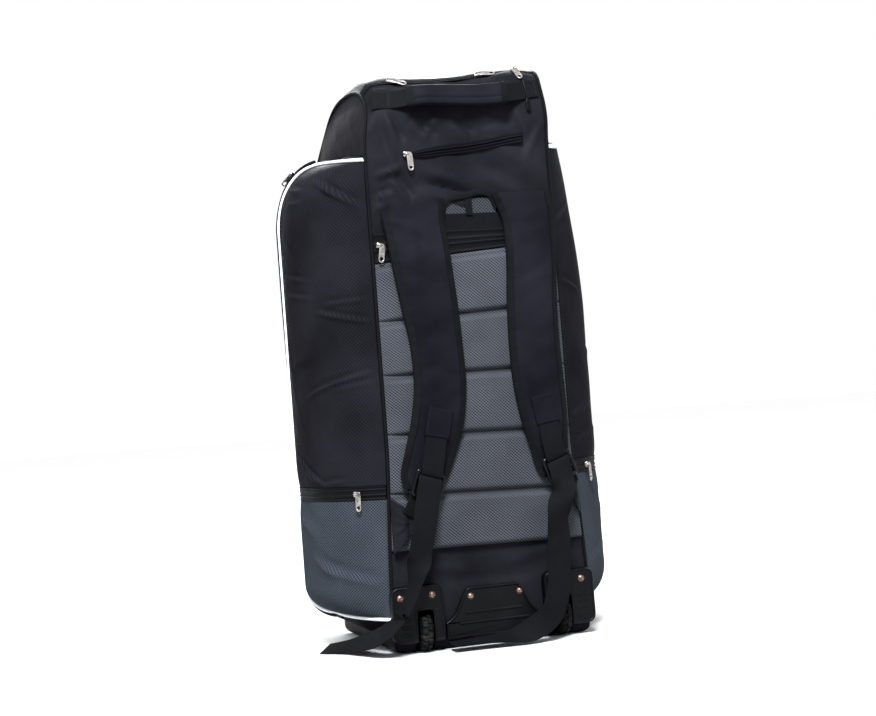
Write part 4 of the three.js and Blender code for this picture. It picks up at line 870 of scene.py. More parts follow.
def buildPad():
    # pad: from each sewn line a channel rises by a quarter circle, then steps down to a flat margin
    # below the next line; thinned to its sides, with a narrow groove at each line
    seams, tilts = np.array(pad["seams"], float), np.array(pad["tilts"], float)
    u, place = np.meshgrid(np.linspace(-1, 1, pad["across"]),
                           np.linspace(0, len(seams) - 1, pad["rows"]))
    row = np.minimum(place.astype(int), len(seams) - 2)
    s = place - row
    x = u * (halfWidth(mix(seams[row], seams[row + 1], s)) - pad["margin"])
    low, high = ((seams[k] + tilts[k] * (x - pad["tiltAt"])) for k in (row, row + 1))
    z = mix(low, high, s)
    above, below = z - low, high - z
    full = np.sqrt(1 - (1 - np.clip(above / pad["turn"], 0, 1)) ** 2) * ease(below, *pad["flat"])
    loft = pad["edge"] + pad["loft"] * full * (1 - u ** 6)
    loft = loft - pad["groove"] * np.exp(-(np.minimum(above, below) / pad["grooveWidth"]) ** 2)
    loft = loft + ripples(x, z, pad["rippleSize"], pad["ripple"], 21) * np.sin(np.pi * s) ** 2 * (1 - u ** 6)
    made = piece("quilted_pad", [padShell(onBack(x, z, pad["lift"] + loft), onBack(x, z, pad["lift"]))],
                 padMesh, ["back_pad"], closed=True)


stowBand = {"bottom": 617, "top": 652, "lift": 2.4, "margin": 1.0, "wall": 2.4,
            "welts": [(0.06, 1.0, 0.06), (0.42, 1.6, 0.06), (0.52, 0.8, 0.03), (0.62, 1.6, 0.06),
                      (0.94, 0.9, 0.06)]}
yoke = {"patch": (-30, 54, 678, 702), "patchLift": 2.6, "under": (-36, 58, 651, 678), "underLift": 2.2,
        "loop": (3, 14, 675, 704), "loopLift": 5.0, "bindingLift": 5.0, "bindingWide": 11, "bindingThick": 5,
        "binding": [(-38, 676), (-34, 692), (-24, 701), (2, 706), (30, 711), (46, 706), (56, 686)]}
slopeZip = {"left": (-90, 773), "right": (110, 787), "width": 16, "point": 0.3, "arch": 3,
            "lift": 2.4, "wall": 2.0,
            "welts": [(0.10, 1.0, 0.07), (0.36, 2.4, 0.10), (0.5, -0.6, 0.05), (0.66, 2.4, 0.10),
                      (0.92, 0.9, 0.07)]}
topZip = {"lift": 0.4, "wall": 2.0,
          "welts": [(0.08, 0.8, 0.08), (0.36, 1.6, 0.09), (0.5, 0.7, 0.05), (0.64, 1.6, 0.09),
                    (0.92, 0.8, 0.08)]}


def backPatch(x0, x1, z0, z1, lift, columns=24, rows=12):  # flat pad on the back, raised by the lift
    x, z = np.meshgrid(np.linspace(x0, x1, columns), np.linspace(z0, z1, rows))
    return padShell(onBack(x, z, lift), onBack(x, z, 0.2))


def buildZips():
    # each zip is a band with welts: across the back, sloping above it, and along the top's edge
    half = halfWidth(stowBand["top"]) - stowBand["margin"]
    x, s = np.meshgrid(np.linspace(-half, half, 90), np.linspace(0, 1, 44))
    z = mix(stowBand["bottom"] + pad["tilts"][-1] * (x - pad["tiltAt"]), stowBand["top"], s)
    band = weltBand(onBack(x, z, stowBand["lift"]), stowBand["welts"])
    piece("stow_band", [gridShell(band)], zipTape, ["stow_zip"], wall=stowBand["wall"])
    s, w = np.meshgrid(np.linspace(0, 1, 90), np.linspace(-0.5, 0.5, 44))
    narrow = np.sin(np.pi / 2 * np.clip(s / slopeZip["point"], 0.02, 1)) ** 0.6  # pointed at its left end
    (x0, z0), (x1, z1) = slopeZip["left"], slopeZip["right"]
    x = mix(x0, x1, s)
    z = mix(z0, z1, s) + w * slopeZip["width"] * narrow + slopeZip["arch"] * np.sin(np.pi * s)
    band = weltBand(onBack(x, z, slopeZip["lift"]), slopeZip["welts"])
    piece("slope_zip", [gridShell(band)], darkToneAndShadeCloth, ["back_pocket_zip"], wall=slopeZip["wall"])
    u, t = np.meshgrid(np.linspace(-1, 1, 91), np.linspace(*bodyShape["zipEnds"], 40))
    band = weltBand(strip(u, t, topZip["lift"]), topZip["welts"])
    piece("top_zip_band", [gridShell(band)], zipTape, ["top_zip"], wall=topZip["wall"])


def buildYoke():
    # flat patches in the gap between the straps, and a tape along a smooth line over them
    shell = backPatch(*yoke["patch"], yoke["patchLift"])
    # the yoke's windows use the darker copy of the pad's mesh: painted shade
    piece("yoke_mesh", [shell], shadedYokeNet, ["yoke_patch"], closed=True)
    piece("yoke_under", [backPatch(*yoke["under"], yoke["underLift"])], webbing, closed=True)
    shell = backPatch(*yoke["loop"], yoke["loopLift"], 8, 20)
    piece("yoke_strip", [shell], webbing, ["yoke_loop"], closed=True)
    path = catmull(yoke["binding"], 60)
    centres = onBack(path[:, 0], path[:, 1], yoke["bindingLift"])
    ahead = unit(np.gradient(centres, axis=0))
    side = unit(np.cross((0, -1, 0), ahead))
    profile = oval(yoke["bindingWide"], yoke["bindingThick"], 16, 3)
    tape = sweepShell(profile, centres, side, np.cross(ahead, side))
    piece("yoke_edge", [tape], webbing, ["yoke_binding"], closed=True)


buildPad()
buildZips()
buildYoke()
print("back pad, zips and yoke made")

# Carrying handle
handle = {"left": -139, "right": 141, "z": 855, "sewn": 1.5, "rise": 22, "riseStart": 0.07, "riseEnd": 0.3,
          "webbing": 30, "thick": 1.8, "gripLeft": -84, "gripRight": 76, "gripHeight": 35, "gripThick": 12,
          "endRise": (6, 10), "endFrom": 62, "sewnDepth": 0.28, "sewnAt": -7, "sewnWidth": 1.4,
          "bindings": [(-84, -74), (66, 76)], "bindingOver": 1.6,
          "boxes": [(-134, -112), (114, 136)], "boxHalf": 11, "boxRows": 12, "thread": 0.5, "threadOut": 0.55}


def handlePath(x):
    # webbing lies on the back at its ends and lifts off smoothly in between
    share = (x - handle["left"]) / (handle["right"] - handle["left"])
    share = np.minimum(share, 1 - share)
    lift = handle["sewn"] + handle["rise"] * ease(share, handle["riseStart"], handle["riseEnd"])
    z = (handle["z"] + handle["endRise"][0] * ease(-x, handle["endFrom"], -handle["left"])
         + handle["endRise"][1] * ease(x, handle["endFrom"], handle["right"]))
    low, high = onBack(x, z - 1, lift), onBack(x, z + 1, lift)
    centres, side = (low + high) / 2, unit(high - low)
    ahead = unit(np.gradient(centres, axis=0))
    side = unit(side - ahead * (side * ahead).sum(1, keepdims=True))
    return centres, side, np.cross(ahead, side)


def buildHandle():
    # webbing, a padded oval grip with a sewn line, tape round its ends, and crossed boxes of stitches
    strap = sweepShell(oval(handle["webbing"], handle["thick"], 24, 8),
                       *handlePath(np.linspace(handle["left"], handle["right"], 120)))
    piece("handle_strap", [strap], webbing, ["handle_webbing"], closed=True)
    profile = oval(handle["gripHeight"], handle["gripThick"], 72, 3.2)
    dent = np.exp(-((profile[:, 0] - handle["sewnAt"]) / handle["sewnWidth"]) ** 2)
    profile[:, 1] *= 1 - handle["sewnDepth"] * dent
    grip = sweepShell(profile, *handlePath(np.linspace(handle["gripLeft"], handle["gripRight"], 80)))
    made = piece("handle_pad", [grip], strapCloth, ["handle_grip"], closed=True)
    over = handle["bindingOver"]
    profile = oval(handle["gripHeight"] + over, handle["gripThick"] + over, 40, 3.2)
    bands = [sweepShell(profile, *handlePath(np.linspace(x0, x1, 8))) for x0, x1 in handle["bindings"]]
    piece("handle_binding", bands, webbing, closed=True)
    threads = []
    w, rows = handle["boxHalf"], handle["boxRows"]
    run = np.linspace(0, 1, rows)
    for x0, x1 in handle["boxes"]:
        centres, side, out = handlePath(mix(x0, x1, run))
        corners = [(x0, -w), (x1, -w), (x1, w), (x0, w)]
        lines = list(zip(corners, corners[1:] + corners[:1]))
        lines += [(corners[0], corners[2]), (corners[3], corners[1])]
        for (xa, wa), (xb, wb) in lines:
            k = np.round(np.interp(mix(xa, xb, run), [x0, x1], [0, rows - 1])).astype(int)
            line = centres[k] + side[k] * mix(wa, wb, run)[:, None]
            line = line + out[k] * handle["thick"] * handle["threadOut"]
            threads.append(tubeShell(line, handle["thread"], 6, (0.3, 1, 0.2)))
    piece("handle_stitching", threads, stitch, closed=True)


buildHandle()
print("handle made")

# Shoulder straps: outer edge x, z and inner edge x, z, from the sewn top to the tip
straps = {
    "left": [(-138, 682, -33, 702), (-133, 646, -35, 664), (-128, 603, -32, 606), (-117, 527, -26, 522),
             (-108, 470, -24, 462), (-107, 408, -23, 404), (-116, 352, -32, 346), (-130, 304, -50, 294),
             (-138, 268, -68, 258), (-130, 246, -84, 240)],
    "right": [(146, 707, 45, 708), (149, 662, 61, 668), (145, 600, 62, 606), (140, 530, 57, 530),
              (139, 456, 55, 454), (141, 392, 58, 390), (141, 338, 68, 332), (139, 304, 79, 292),
              (137, 278, 87, 264), (131, 256, 98, 248)],
    "back": 167.0, "sewnBack": 158.0, "liftFade": (600, 690), "loft": 10.0, "edge": 2.5,
    "tipStart": 0.66, "tipEnd": 0.86, "ripple": 0.9, "rippleSize": 55, "pucker": 0.9, "puckerPitch": 16.0,
    "bindingWidth": 11.0, "bindingThick": 2.6, "bindingIn": 0.055, "bindingLift": 0.5, "bindingStep": 0.02,
    "bindingEnd": 0.985,
    "creases": [(-120, 668, -60, 640, 10, 1.2), (-84, 660, -74, 590, 9, -1.4),
                (-110, 590, -60, 570, 12, -1.0), (-100, 500, -60, 512, 12, 0.9),
                (-100, 430, -60, 436, 12, -0.9), (-110, 380, -70, 366, 10, 0.9),
                (90, 666, 140, 684, 10, 1.1), (76, 640, 90, 590, 9, -1.1), (80, 570, 136, 596, 12, -0.9),
                (80, 466, 136, 452, 12, 0.9), (84, 384, 136, 396, 12, -0.8)],
}


def strapGrid(rows, a, b, raised):
    # strap: straight across between its smooth edges; loft falls off as (1 - across^4)^0.5
    edges = catmull(rows, 400)
    at = [np.interp(b, np.linspace(0, 1, 400), edges[:, k]) for k in range(4)]
    x, z = mix(at[0], at[2], a), mix(at[1], at[3], a)
    back = mix(straps["back"], straps["sewnBack"], ease(z, *straps["liftFade"]))
    if not raised:
        return np.stack([x, -back, z], -1)
    across = 2 * a - 1
    tip = 1 - ease(b, straps["tipStart"], straps["tipEnd"])
    soft = creases(x, z, straps["creases"]) + ripples(x, z, straps["rippleSize"], straps["ripple"], 31)
    soft = soft + straps["pucker"] * np.sin(2 * np.pi * z / straps["puckerPitch"] + 4 * across) * across ** 4
    loft = straps["edge"] + (straps["loft"] + soft) * tip * np.sqrt(np.clip(1 - across ** 4, 0, 1))
    return np.stack([x, -(back + loft), z], -1)


def buildStraps():
    # padded straps, each with a tape that follows its edges and tip, tangent to the padding
    a, b = np.meshgrid(np.linspace(0, 1, 41), np.linspace(0, 1, 181))
    inset, step = straps["bindingIn"], straps["bindingStep"]
    run = np.linspace(0.0, 1, 150)
    legs = [(np.full(150, inset), run),
            (np.linspace(inset, 1 - inset, 30), np.full(30, straps["bindingEnd"])),
            (np.full(150, 1 - inset), run[::-1])]
    for side in ("left", "right"):
        rows = straps[side]
        shell = padShell(strapGrid(rows, a, b, True), strapGrid(rows, a, b, False))
        made = piece(f"padded_strap_{side}", [shell], strapCloth, [f"shoulder_strap_{side}"],
                     closed=True)
        near, far = (np.concatenate([strapGrid(rows, across + np.sign(0.5 - across) * step * k, along, True)
                                     for across, along in legs]) for k in (-1, 1))
        line = (near + far) / 2
        ahead = unit(np.gradient(line, axis=0))
        flat = unit(np.cross((0, -1, 0), ahead))
        slope = far - near
        flat = np.where(np.linalg.norm(slope, axis=1, keepdims=True) > 0.5, unit(slope), flat)
        flat = unit(flat - ahead * (flat * ahead).sum(1, keepdims=True))
        out = np.cross(ahead, flat)
        out = out * np.sign(-out[:, 1:2])
        tape = sweepShell(oval(straps["bindingWidth"], straps["bindingThick"], 14, 3.5),
                          line + out * straps["bindingLift"], flat, out)
        piece(f"strap_binding_{side}", [tape], webbing, closed=True)


buildStraps()
print("shoulder straps made")

# Webbing: centre x, y, z and width direction x, y, z
webbingRuns = {
    "width": 38, "buckleWidth": 34, "thick": 1.6, "perRow": 12, "wrapRows": 5,
    "buckleLeft": [(-70, -181.6, 366, 0.98, 0, -0.2), (-80, -181.6, 326, 0.96, 0, -0.27),
                   (-87, -182.4, 292, 0.95, 0, -0.32)],
    "buckleRight": [(100, -181.6, 376, 0.99, 0, 0.12), (106, -181.6, 340, 0.97, 0, 0.25),
                    (110, -182.4, 306, 0.95, 0, 0.32)],
    "tabLeft": [(-124, -171, 204, 0.85, 0, -0.53), (-112, -172.6, 226, 0.93, 0, -0.36)],
    "tabRight": [(136, -171, 232, 0.85, 0, 0.53), (130, -172.6, 247, 0.93, 0, 0.36)],
    "tailLeft": [
        (-104, -187, 226, 0.98, 0, -0.2), (-112, -189, 190, 1, 0, 0), (-123, -188, 144, 1, 0, 0.05),
        (-129, -187, 122, 0.66, -0.72, 0.1), (-134, -186.5, 102, 0.36, -0.92, 0.14),
        (-146, -188, 76, 0.5, -0.66, 0.5), (-167, -184, 46, 0.5, 0.3, 0.8), (-187, -160, 27, 0.4, 0.5, 0.74),
        (-202, -116, 14, 0.35, 0.78, 0.5), (-221, -70, 4, 0.2, 0.94, 0.24), (-253, -32, -4, 0, 0.99, 0.1)],
    "tailRight": [
        (121, -187, 243, 0.95, 0, 0.2), (119, -191, 224, 0.75, -0.6, 0.1), (111, -193, 205, 0.9, -0.3, 0.05),
        (106, -193, 184, 0.95, 0.2, 0), (105, -192, 150, 1, 0, 0), (101, -193, 100, 1, 0, 0),
        (95, -196, 66, 0.96, 0, 0.2), (80, -198, 34, 0.72, -0.1, -0.68), (52, -194, 15.5, 0.15, -0.4, -0.9),
        (20, -187, 6.6, 0, -0.9, -0.42), (-12, -183, 4.8, 0, -0.98, -0.2), (-46, -181, 4.4, 0, -1, -0.09),
        (-80, -181, 4.0, 0, -1, -0.03)],
}
patch = {"wide": 40, "tall": 46, "corner": 3, "drop": 19, "stitchIn": 3.0, "stitch": 0.6,
         "rings": [(0, -3.0), (0, 1.2), (0.6, 2.0), (1.6, 2.4)]}
buckle = {
    "width": 50, "length": 44, "depth": 5.4, "corner": 5, "wrap": 4.9, "bar": 2.3, "barIn": 3, "rail": 5.0,
    "foldBar": 8.0, "loopBar": 19.0,
    "left": ((-98, -175.3, 252), 18.4), "right": ((121, -175.3, 263), -20.0),
}


def buckleAxes(side):  # middle of the buckle, and its across and up directions turned by the roll
    place, roll = buckle[side]
    c, s = math.cos(math.radians(roll)), math.sin(math.radians(roll))
    return np.array(place), np.array([c, 0, -s]), np.array([s, 0, c])


def wrapRows(side, bar, over):
    # half a turn of webbing round a bar
    place, across, up = buckleAxes(side)
    middle = place + up * bar - (0, buckle["depth"] / 2, 0)
    count = webbingRuns["wrapRows"]
    angle = np.linspace(0, np.pi, count)[:, None]
    sign = 1 if over else -1
    at = middle + sign * buckle["wrap"] * (np.cos(angle) * (0, 1, 0) + np.sin(angle) * up)
    return np.hstack([at, np.tile(across, (count, 1))]).tolist()


def ribbon(rows):
    # webbing along smooth centres, its width direction squared to the path
    path = catmull(rows, webbingRuns["perRow"] * (len(rows) - 1) + 1)
    ahead = unit(np.gradient(path[:, :3], axis=0))
    side = unit(path[:, 3:] - ahead * (path[:, 3:] * ahead).sum(1, keepdims=True))
    return path[:, :3], side, np.cross(ahead, side)


def buildWebbing():
    # webbing swept along its rows: strap to buckle, tab to buckle, and the free tail from the buckle down
    for side in ("left", "right"):
        big = side.capitalize()
        rows = webbingRuns[f"buckle{big}"] + wrapRows(side, buckle["loopBar"], False)
        profile = oval(webbingRuns["buckleWidth"], webbingRuns["thick"], 24, 8)
        piece(f"buckle_loop_{side}", [sweepShell(profile, *ribbon(rows))], webbing,
              [f"buckle_webbing_{side}"], closed=True)
        hidden = webbingRuns[f"tab{big}"] + wrapRows(side, buckle["foldBar"], True)
        centres, across, out = ribbon(hidden + webbingRuns[f"tail{big}"])
        cut = webbingRuns["perRow"] * (len(hidden) - 1)
        profile = oval(webbingRuns["width"], webbingRuns["thick"], 24, 8)
        shell = sweepShell(profile, centres[:cut + 1], across[:cut + 1], out[:cut + 1])
        piece(f"tab_loop_{side}", [shell], webbing, [f"strap_webbing_{side}"], closed=True)
        tail = centres[cut:]
        shell = sweepShell(profile, tail, across[cut:], out[cut:])
        made = piece(f"strap_tail_{side}", [shell], webbing, [f"strap_webbing_{side}"],
                     closed=True)
        path = standing(tail) * mm


def buildPatches():
    # patch: a flat plate over the webbing's sewn end, with a stitched line set in from its edge
    for side in ("left", "right"):
        big = side.capitalize()
        start, end = (np.array(row) for row in webbingRuns[f"buckle{big}"][:2])
        up = unit(start[:3] - end[:3])
        across = unit(start[3:] - up * (start[3:] @ up))
        middle = start[:3] - up * patch["drop"]
        wide, tall = patch["wide"] / 2, patch["tall"] / 2

        def place(points):
            return (middle + points[..., :1] * across + points[..., 1:2] * up
                    + points[..., 2:] * np.array([0.0, -1.0, 0.0]))

        edge = roundedBox(wide, tall, patch["corner"])
        plate = plateShell(edge, patch["rings"], place)
        piece(f"strap_patch_{side}", [plate], strapCloth, closed=True)
        line = edge * (1 - 2 * patch["stitchIn"] / patch["wide"])
        line = place(np.column_stack([line, np.full(len(line), patch["rings"][-1][1])]))
        thread = tubeShell(line, patch["stitch"], 6, (0, 1, 0), closed=True)
        piece(f"patch_stitch_{side}", [thread], stitch, closed=True)


def buildBuckles():
    # ladder buckle: a rounded rail swept round its edge, and two round bars across it
    half, long, rail = buckle["width"] / 2, buckle["length"] / 2, buckle["rail"] / 2
    loop = roundedBox(half - rail, long - rail, buckle["corner"])
    ends = np.linspace(buckle["barIn"] - half, half - buckle["barIn"], 12)[:, None]
    for side in ("left", "right"):
        place, across, up = buckleAxes(side)
        middle = place - (0, buckle["depth"] / 2, 0)
        line = middle + loop[:, :1] * across + loop[:, 1:] * up
        line = np.vstack([line, line[:1]])
        ahead = unit(np.roll(line[:-1], -1, 0) - np.roll(line[:-1], 1, 0))
        ahead = np.vstack([ahead, ahead[:1]])
        out = np.tile((0.0, -1.0, 0.0), (len(line), 1))
        profile = oval(buckle["rail"], buckle["depth"], 14, 3)
        ring = sweepShell(profile, line, np.cross(out, ahead), out, False)
        bars = [tubeShell(middle + ends * across + buckle[bar] * up, buckle["bar"], 12, (0, 1, 0))
                for bar in ("foldBar", "loopBar")]
        piece(f"ladder_buckle_{side}", [ring] + bars, bucklePlastic, [f"strap_buckle_{side}"],
              closed=True)


tabs = {
    "left": (-157, 149, 236, -119, 200), "right": (157, 184, 268, 128, 236), "seamY": -157.0, "apexY": -168.4,
    "reach": 0.9, "bulge": 7.0, "bulgeEnd": 0.75, "lift": 1.5, "tipBelow": 12, "tipAbove": 6, "wall": 2.0,
    # across, up to across, up (shares), width, height
    "creases": [(0.0, 0.62, 0.8, 0.5, 0.07, 0.9), (0.0, 0.34, 0.6, 0.42, 0.07, 0.8),
                (0.05, 0.86, 0.6, 0.62, 0.07, 0.7)],
}


def buildTabs():
    # cloth triangle: straight from the seam to a blunt tip, creased along its length
    a, b = np.meshgrid(np.linspace(0, 1, 50), np.linspace(0, 1, 50))
    for side in ("left", "right"):
        seamX, low, high, apexX, apexZ = tabs[side]
        s = a * tabs["reach"]
        z = mix(mix(low, high, b), mix(apexZ - tabs["tipBelow"], apexZ + tabs["tipAbove"], b), s)
        lift = creases(a, b, tabs["creases"]) * np.sin(np.pi * b) ** 0.5
        y = mix(tabs["seamY"], tabs["apexY"], s) - lift - tabs["lift"]
        bulge = np.sin(np.pi * np.clip(a, 0, tabs["bulgeEnd"]) / tabs["bulgeEnd"])
        y = y - tabs["bulge"] * np.maximum(bulge, 0) ** 0.7
        grid = np.stack([mix(seamX, apexX, s), y, z], -1)
        shell = gridShell(grid if side == "left" else grid[:, ::-1])
        piece(f"seam_tab_{side}", [shell], bagCloth, [f"strap_tab_{side}"], wall=tabs["wall"])


buildWebbing()
buildPatches()
buildBuckles()
buildTabs()
print("webbing, buckles and tabs made")

# Wheels, housings and kick plate
wheel = {"x": 115, "y": -142, "z": 26, "bore": 4.5, "hub": 12, "blocks": 19, "tread": 2.2,
         "groove": (0.27, 0.36), "middle": 1.0, "shoulder": 9.8,
         # half widths of its rows, then its radius by half width
         "rows": [0.8, 1.4, 2.0, 3.2, 4.6, 6.0, 7.2, 8.0, 8.6, 9.4, 10.2, 10.7, 11, 11, 11],
         "radiusAt": [0, 3, 6, 7.6, 8.4, 9.2, 10.2, 10.7, 11],
         "radius": [34, 33.9, 33.3, 32.5, 31.4, 30, 27.6, 25.6, 24]}
housing = {"inner": 84, "outer": 168, "bottom": 9, "top": 97, "corner": 14, "footCorner": 16,
           "slotHalf": 12.5, "slotTop": 58, "wellTop": 65, "wellBack": -103, "wellFront": -162.5,
           "wellMiddle": 36, "wall": -2.0,
           # inset from the edge, place in Y
           "rings": [(0, -150.4), (0, -163.6), (0.5, -165.0), (1.6, -165.9), (2.8, -166.0), (3.6, -165.6),
                     (4.2, -164.9)],
           "ventX": 147, "ventHalf": (7, 2.4), "ventRound": 2.2, "ventBead": 0.9, "vents": [57, 45, 33.5, 22]}
# right edge of the plate: up its side, in by a cubic sweep, then round a corner to its top
kick = {"half": 80, "sideEnds": (9, 33), "sweep": [(80, 34), (58, 44), (58, 63), (46, 79)],
        "corner": [(46, 79), (43, 85), (37, 85)], "footHalf": 78, "bottom": 7,
        "rings": [(0, -150.4), (0, -155.4), (0.5, -156.6), (1.4, -157.2), (2.6, -157.2), (3.4, -156.4),
                  (4.0, -155.6)],
        "ribs": [(46, 46), (30, 58)], "ribWide": 4, "ribThick": 2.8}
rivet = {"radii": [0, 1.0, 1.6, 2.8, 3.8, 4.4, 4.6, 5.0, 5.2, 5.2],
         "heights": [2.1, 2.15, 2.6, 2.4, 1.7, 0.9, 0.55, 0.5, 0.3, -0.4],
         # plate and end, x, z
         "places": [("housing_left_outer", -154, 80), ("housing_left_inner", -102, 81),
                    ("kick_left", -37, 71), ("kick_right", 45, 71), ("housing_right_inner", 101, 81),
                    ("housing_right_outer", 147, 81)]}


def wheelShell():
    # ring of rubber: radius by width, less the tread where a groove passes, row by row
    half = np.array(wheel["rows"])
    x = np.r_[-half[::-1], 0, half]
    full = np.interp(np.abs(x), wheel["radiusAt"], wheel["radius"])
    full[[0, -1]], full[[1, -2]] = wheel["bore"], wheel["hub"]
    angle = np.linspace(0, 2 * np.pi, wheel["blocks"] * 16 + 1)
    phase = angle[:, None] * wheel["blocks"] / (2 * np.pi) + 0.5 * (x > 0)
    part = np.abs((phase % 1) - 0.5)
    middle = np.abs(x) < wheel["middle"]
    groove = ease(part, *wheel["groove"]) * ~middle * (np.abs(x) < wheel["shoulder"])
    radius = full - wheel["tread"] * np.maximum(groove, middle)
    radius = np.concatenate([radius, radius[:, :1]], 1)
    x = np.r_[x, x[0]]
    y, z = radius * np.cos(angle[:, None]), radius * np.sin(angle[:, None])
    return gridShell(np.stack([np.broadcast_to(x, y.shape), y, z], -1))


def onFace(points):  # plate coordinates: x, z and y as the height
    return points[..., [0, 2, 1]]


def housingShells():
    # moulded plate with a slot for the wheel, an arched well behind the slot, and a bead round each vent
    inner, outer, low, high = (housing[key] for key in ("inner", "outer", "bottom", "top"))
    half, roof, back = (housing[key] for key in ("slotHalf", "wellTop", "wellBack"))
    slotIn, slotOut, slotTop = wheel["x"] - half, wheel["x"] + half, housing["slotTop"]
    edge = roundedLine([(inner, low, 5), (slotIn, low, 4), (slotIn, slotTop, 5), (slotOut, slotTop, 5),
                        (slotOut, low, 4), (outer, low, housing["footCorner"]),
                        (outer, high, housing["corner"]), (inner, high, housing["corner"])], 9)
    plate = plateShell(edge, housing["rings"], onFace)
    side = np.array([(half, 10), (half, 40), (half, roof - 6), (half - 2, roof - 1.5), (half - 6, roof)])
    arch = np.vstack([side * (-1, 1), side[::-1]])
    y = np.r_[np.linspace(housing["wellFront"], back, 12), np.full(4, back)][:, None]
    shrink = np.r_[np.ones(12), 0.7, 0.4, 0.15, 0.0][:, None]
    x = wheel["x"] + arch[:, 0] * shrink
    z = arch[:, 1] * shrink + housing["wellMiddle"] * (1 - shrink)
    well = gridShell(np.stack(np.broadcast_arrays(x, y, z), -1))
    slot = roundedBox(*housing["ventHalf"], housing["ventRound"], 6)
    vents = []
    for level in housing["vents"]:
        line = np.stack([slot[:, 0] + housing["ventX"], np.full(len(slot), housing["rings"][-1][1]),
                         slot[:, 1] + level], 1)
        vents.append(tubeShell(line, housing["ventBead"], 8, (0, 1, 0), closed=True))
    return plate, well, vents


def kickShells():
    # moulded plate inside its edge line and the line's mirror, with two level ribs
    s = np.linspace(0, 1, 24)[:, None]
    p0, p1, p2, p3 = np.array(kick["sweep"], float)
    sweep = (1 - s) ** 3 * p0 + 3 * s * (1 - s) ** 2 * p1 + 3 * s * s * (1 - s) * p2 + s ** 3 * p3
    p0, p1, p2 = np.array(kick["corner"], float)
    corner = (1 - s) ** 2 * p0 + 2 * s * (1 - s) * p1 + s ** 2 * p2
    side = np.column_stack([np.full(8, kick["half"]), np.linspace(*kick["sideEnds"], 8)])
    right = np.vstack([side, sweep, corner[1:]])
    across = np.linspace(-kick["footHalf"], kick["footHalf"], 20)
    foot = np.column_stack([across, np.full(20, kick["bottom"])])
    shells = [plateShell(np.vstack([right, right[::-1] * (-1, 1), foot]), kick["rings"], onFace)]
    upward, outward = np.tile((0.0, 0.0, 1.0), (40, 1)), np.tile((0.0, -1.0, 0.0), (40, 1))
    for level, half in kick["ribs"]:
        run = np.linspace(-half, half, 40)
        centres = np.stack([run, np.full(40, kick["rings"][-1][1]), np.full(40, level)], 1)
        shells.append(sweepShell(oval(kick["ribWide"], kick["ribThick"], 12, 3), centres, upward, outward))
    return shells


def rivetShell(x, z, face):
    # revolved dome with a flange and a small dimple
    radius, height = np.array(rivet["radii"]), np.array(rivet["heights"])
    angle = np.linspace(0, 2 * np.pi, 33)[:, None]
    return gridShell(np.stack([x + radius * np.cos(angle), face - height + 0 * angle,
                               z + radius * np.sin(angle)], -1))


def buildWheelEnd():
    # wheels at their axles, housings as a mirror pair, then the kick plate, and rivets on each plate's face
    tread = wheelShell()
    plate, well, vents = housingShells()
    for side, sign in (("left", -1), ("right", 1)):
        turned = mirrorShell if sign < 0 else (lambda shell: shell)
        spot = np.array([sign * wheel["x"], wheel["y"], wheel["z"]])
        piece(f"tyre_{side}", [(tread[0] + spot, tread[1], tread[2])], tyre, [f"wheel_{side}"],
              body=f"wheel_{side}", closed=True, sharp=35)
        piece(f"housing_plate_{side}", [turned(shell) for shell in [plate] + vents], plastic,
              [f"wheel_housing_{side}"], closed=True, sharp=35)
        piece(f"wheel_well_{side}", [turned(well)], plastic, [f"wheel_housing_{side}"],
              wall=housing["wall"])
        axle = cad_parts[f"wheel_axle_{side}"]
        axle.data.materials.clear()
        axle.data.materials.append(steel)
    piece("kick_guard", kickShells(), plastic, ["kick_plate"], closed=True, sharp=35)
    for name, x, z in rivet["places"]:
        under = kick if name.startswith("kick") else housing
        shell = rivetShell(x, z, under["rings"][-1][1])
        piece(f"stud_{name}", [shell], rivetSteel, [f"rivet_{name}"], closed=True)


buildWheelEnd()
print("wheel end made")

# Zip pulls
pull = {
    "length": 15.0, "middle": -12.5, "wide": 6.0, "waist": 1.1, "waistPitch": 11.5, "thick": 1.9, "rise": 5.2,
    "aside": 3.4,
    # x, z, radius of the slider's corners, then its rings
    "slider": [(-3.0, -6, 1.2), (3.0, -6, 1.2), (4.6, 6, 2.0), (-4.6, 6, 2.0)],
    "sliderRings": [(0, 0.2), (0, 2.8), (0.4, 3.6), (1.2, 4.0)],
    "bridgeFoot": 3.4, "bridgeRise": 4.2, "bridgeAt": 0.8, "bridgeHalf": 4.0, "bridgeRadius": 1.2,
    # holes: middle, half length, half width
    "slot": (-21.5, 3.0, 2.7), "dot": (-22.5, 2.2, 2.6),
    # x, z, lift on the back, and the direction that the pull lies in
    "back_pocket_pull": ((-84.0, 776.0, 3.2), (0.06, 0, -1)),
    "stow_pull": ((-138.0, 632.0, 3.6), (-0.15, 0, -1)),
    # share across the pocket with its step, lift, and share of the way along the gusset's rim
    "pocketShare": 0.142, "pocketStep": 0.01, "pocketLift": 2.0, "rimShare": 0.262, "rimStep": 4,
    # on the top zip: place along the outline, lift, turn to the back, half width, then x and direction
    "topAt": 2.57, "topLift": 2.0, "topBack": 0.6, "topHalf": 150,
    "top": [("left", -102, (0.8, 0, -0.5)), ("right", 114, (0.1, 0, -1)), ("middle", 50, (1, 0, -0.3))],
}
paddle = {"from": (116, 876), "to": (121, 828), "neck": 1.3, "wide": 4.2, "widens": (0.56, 0.68),
          "thick": 1.6, "lift": 5.0, "endFrom": 0.97, "endLength": 0.02, "endRound": 30}


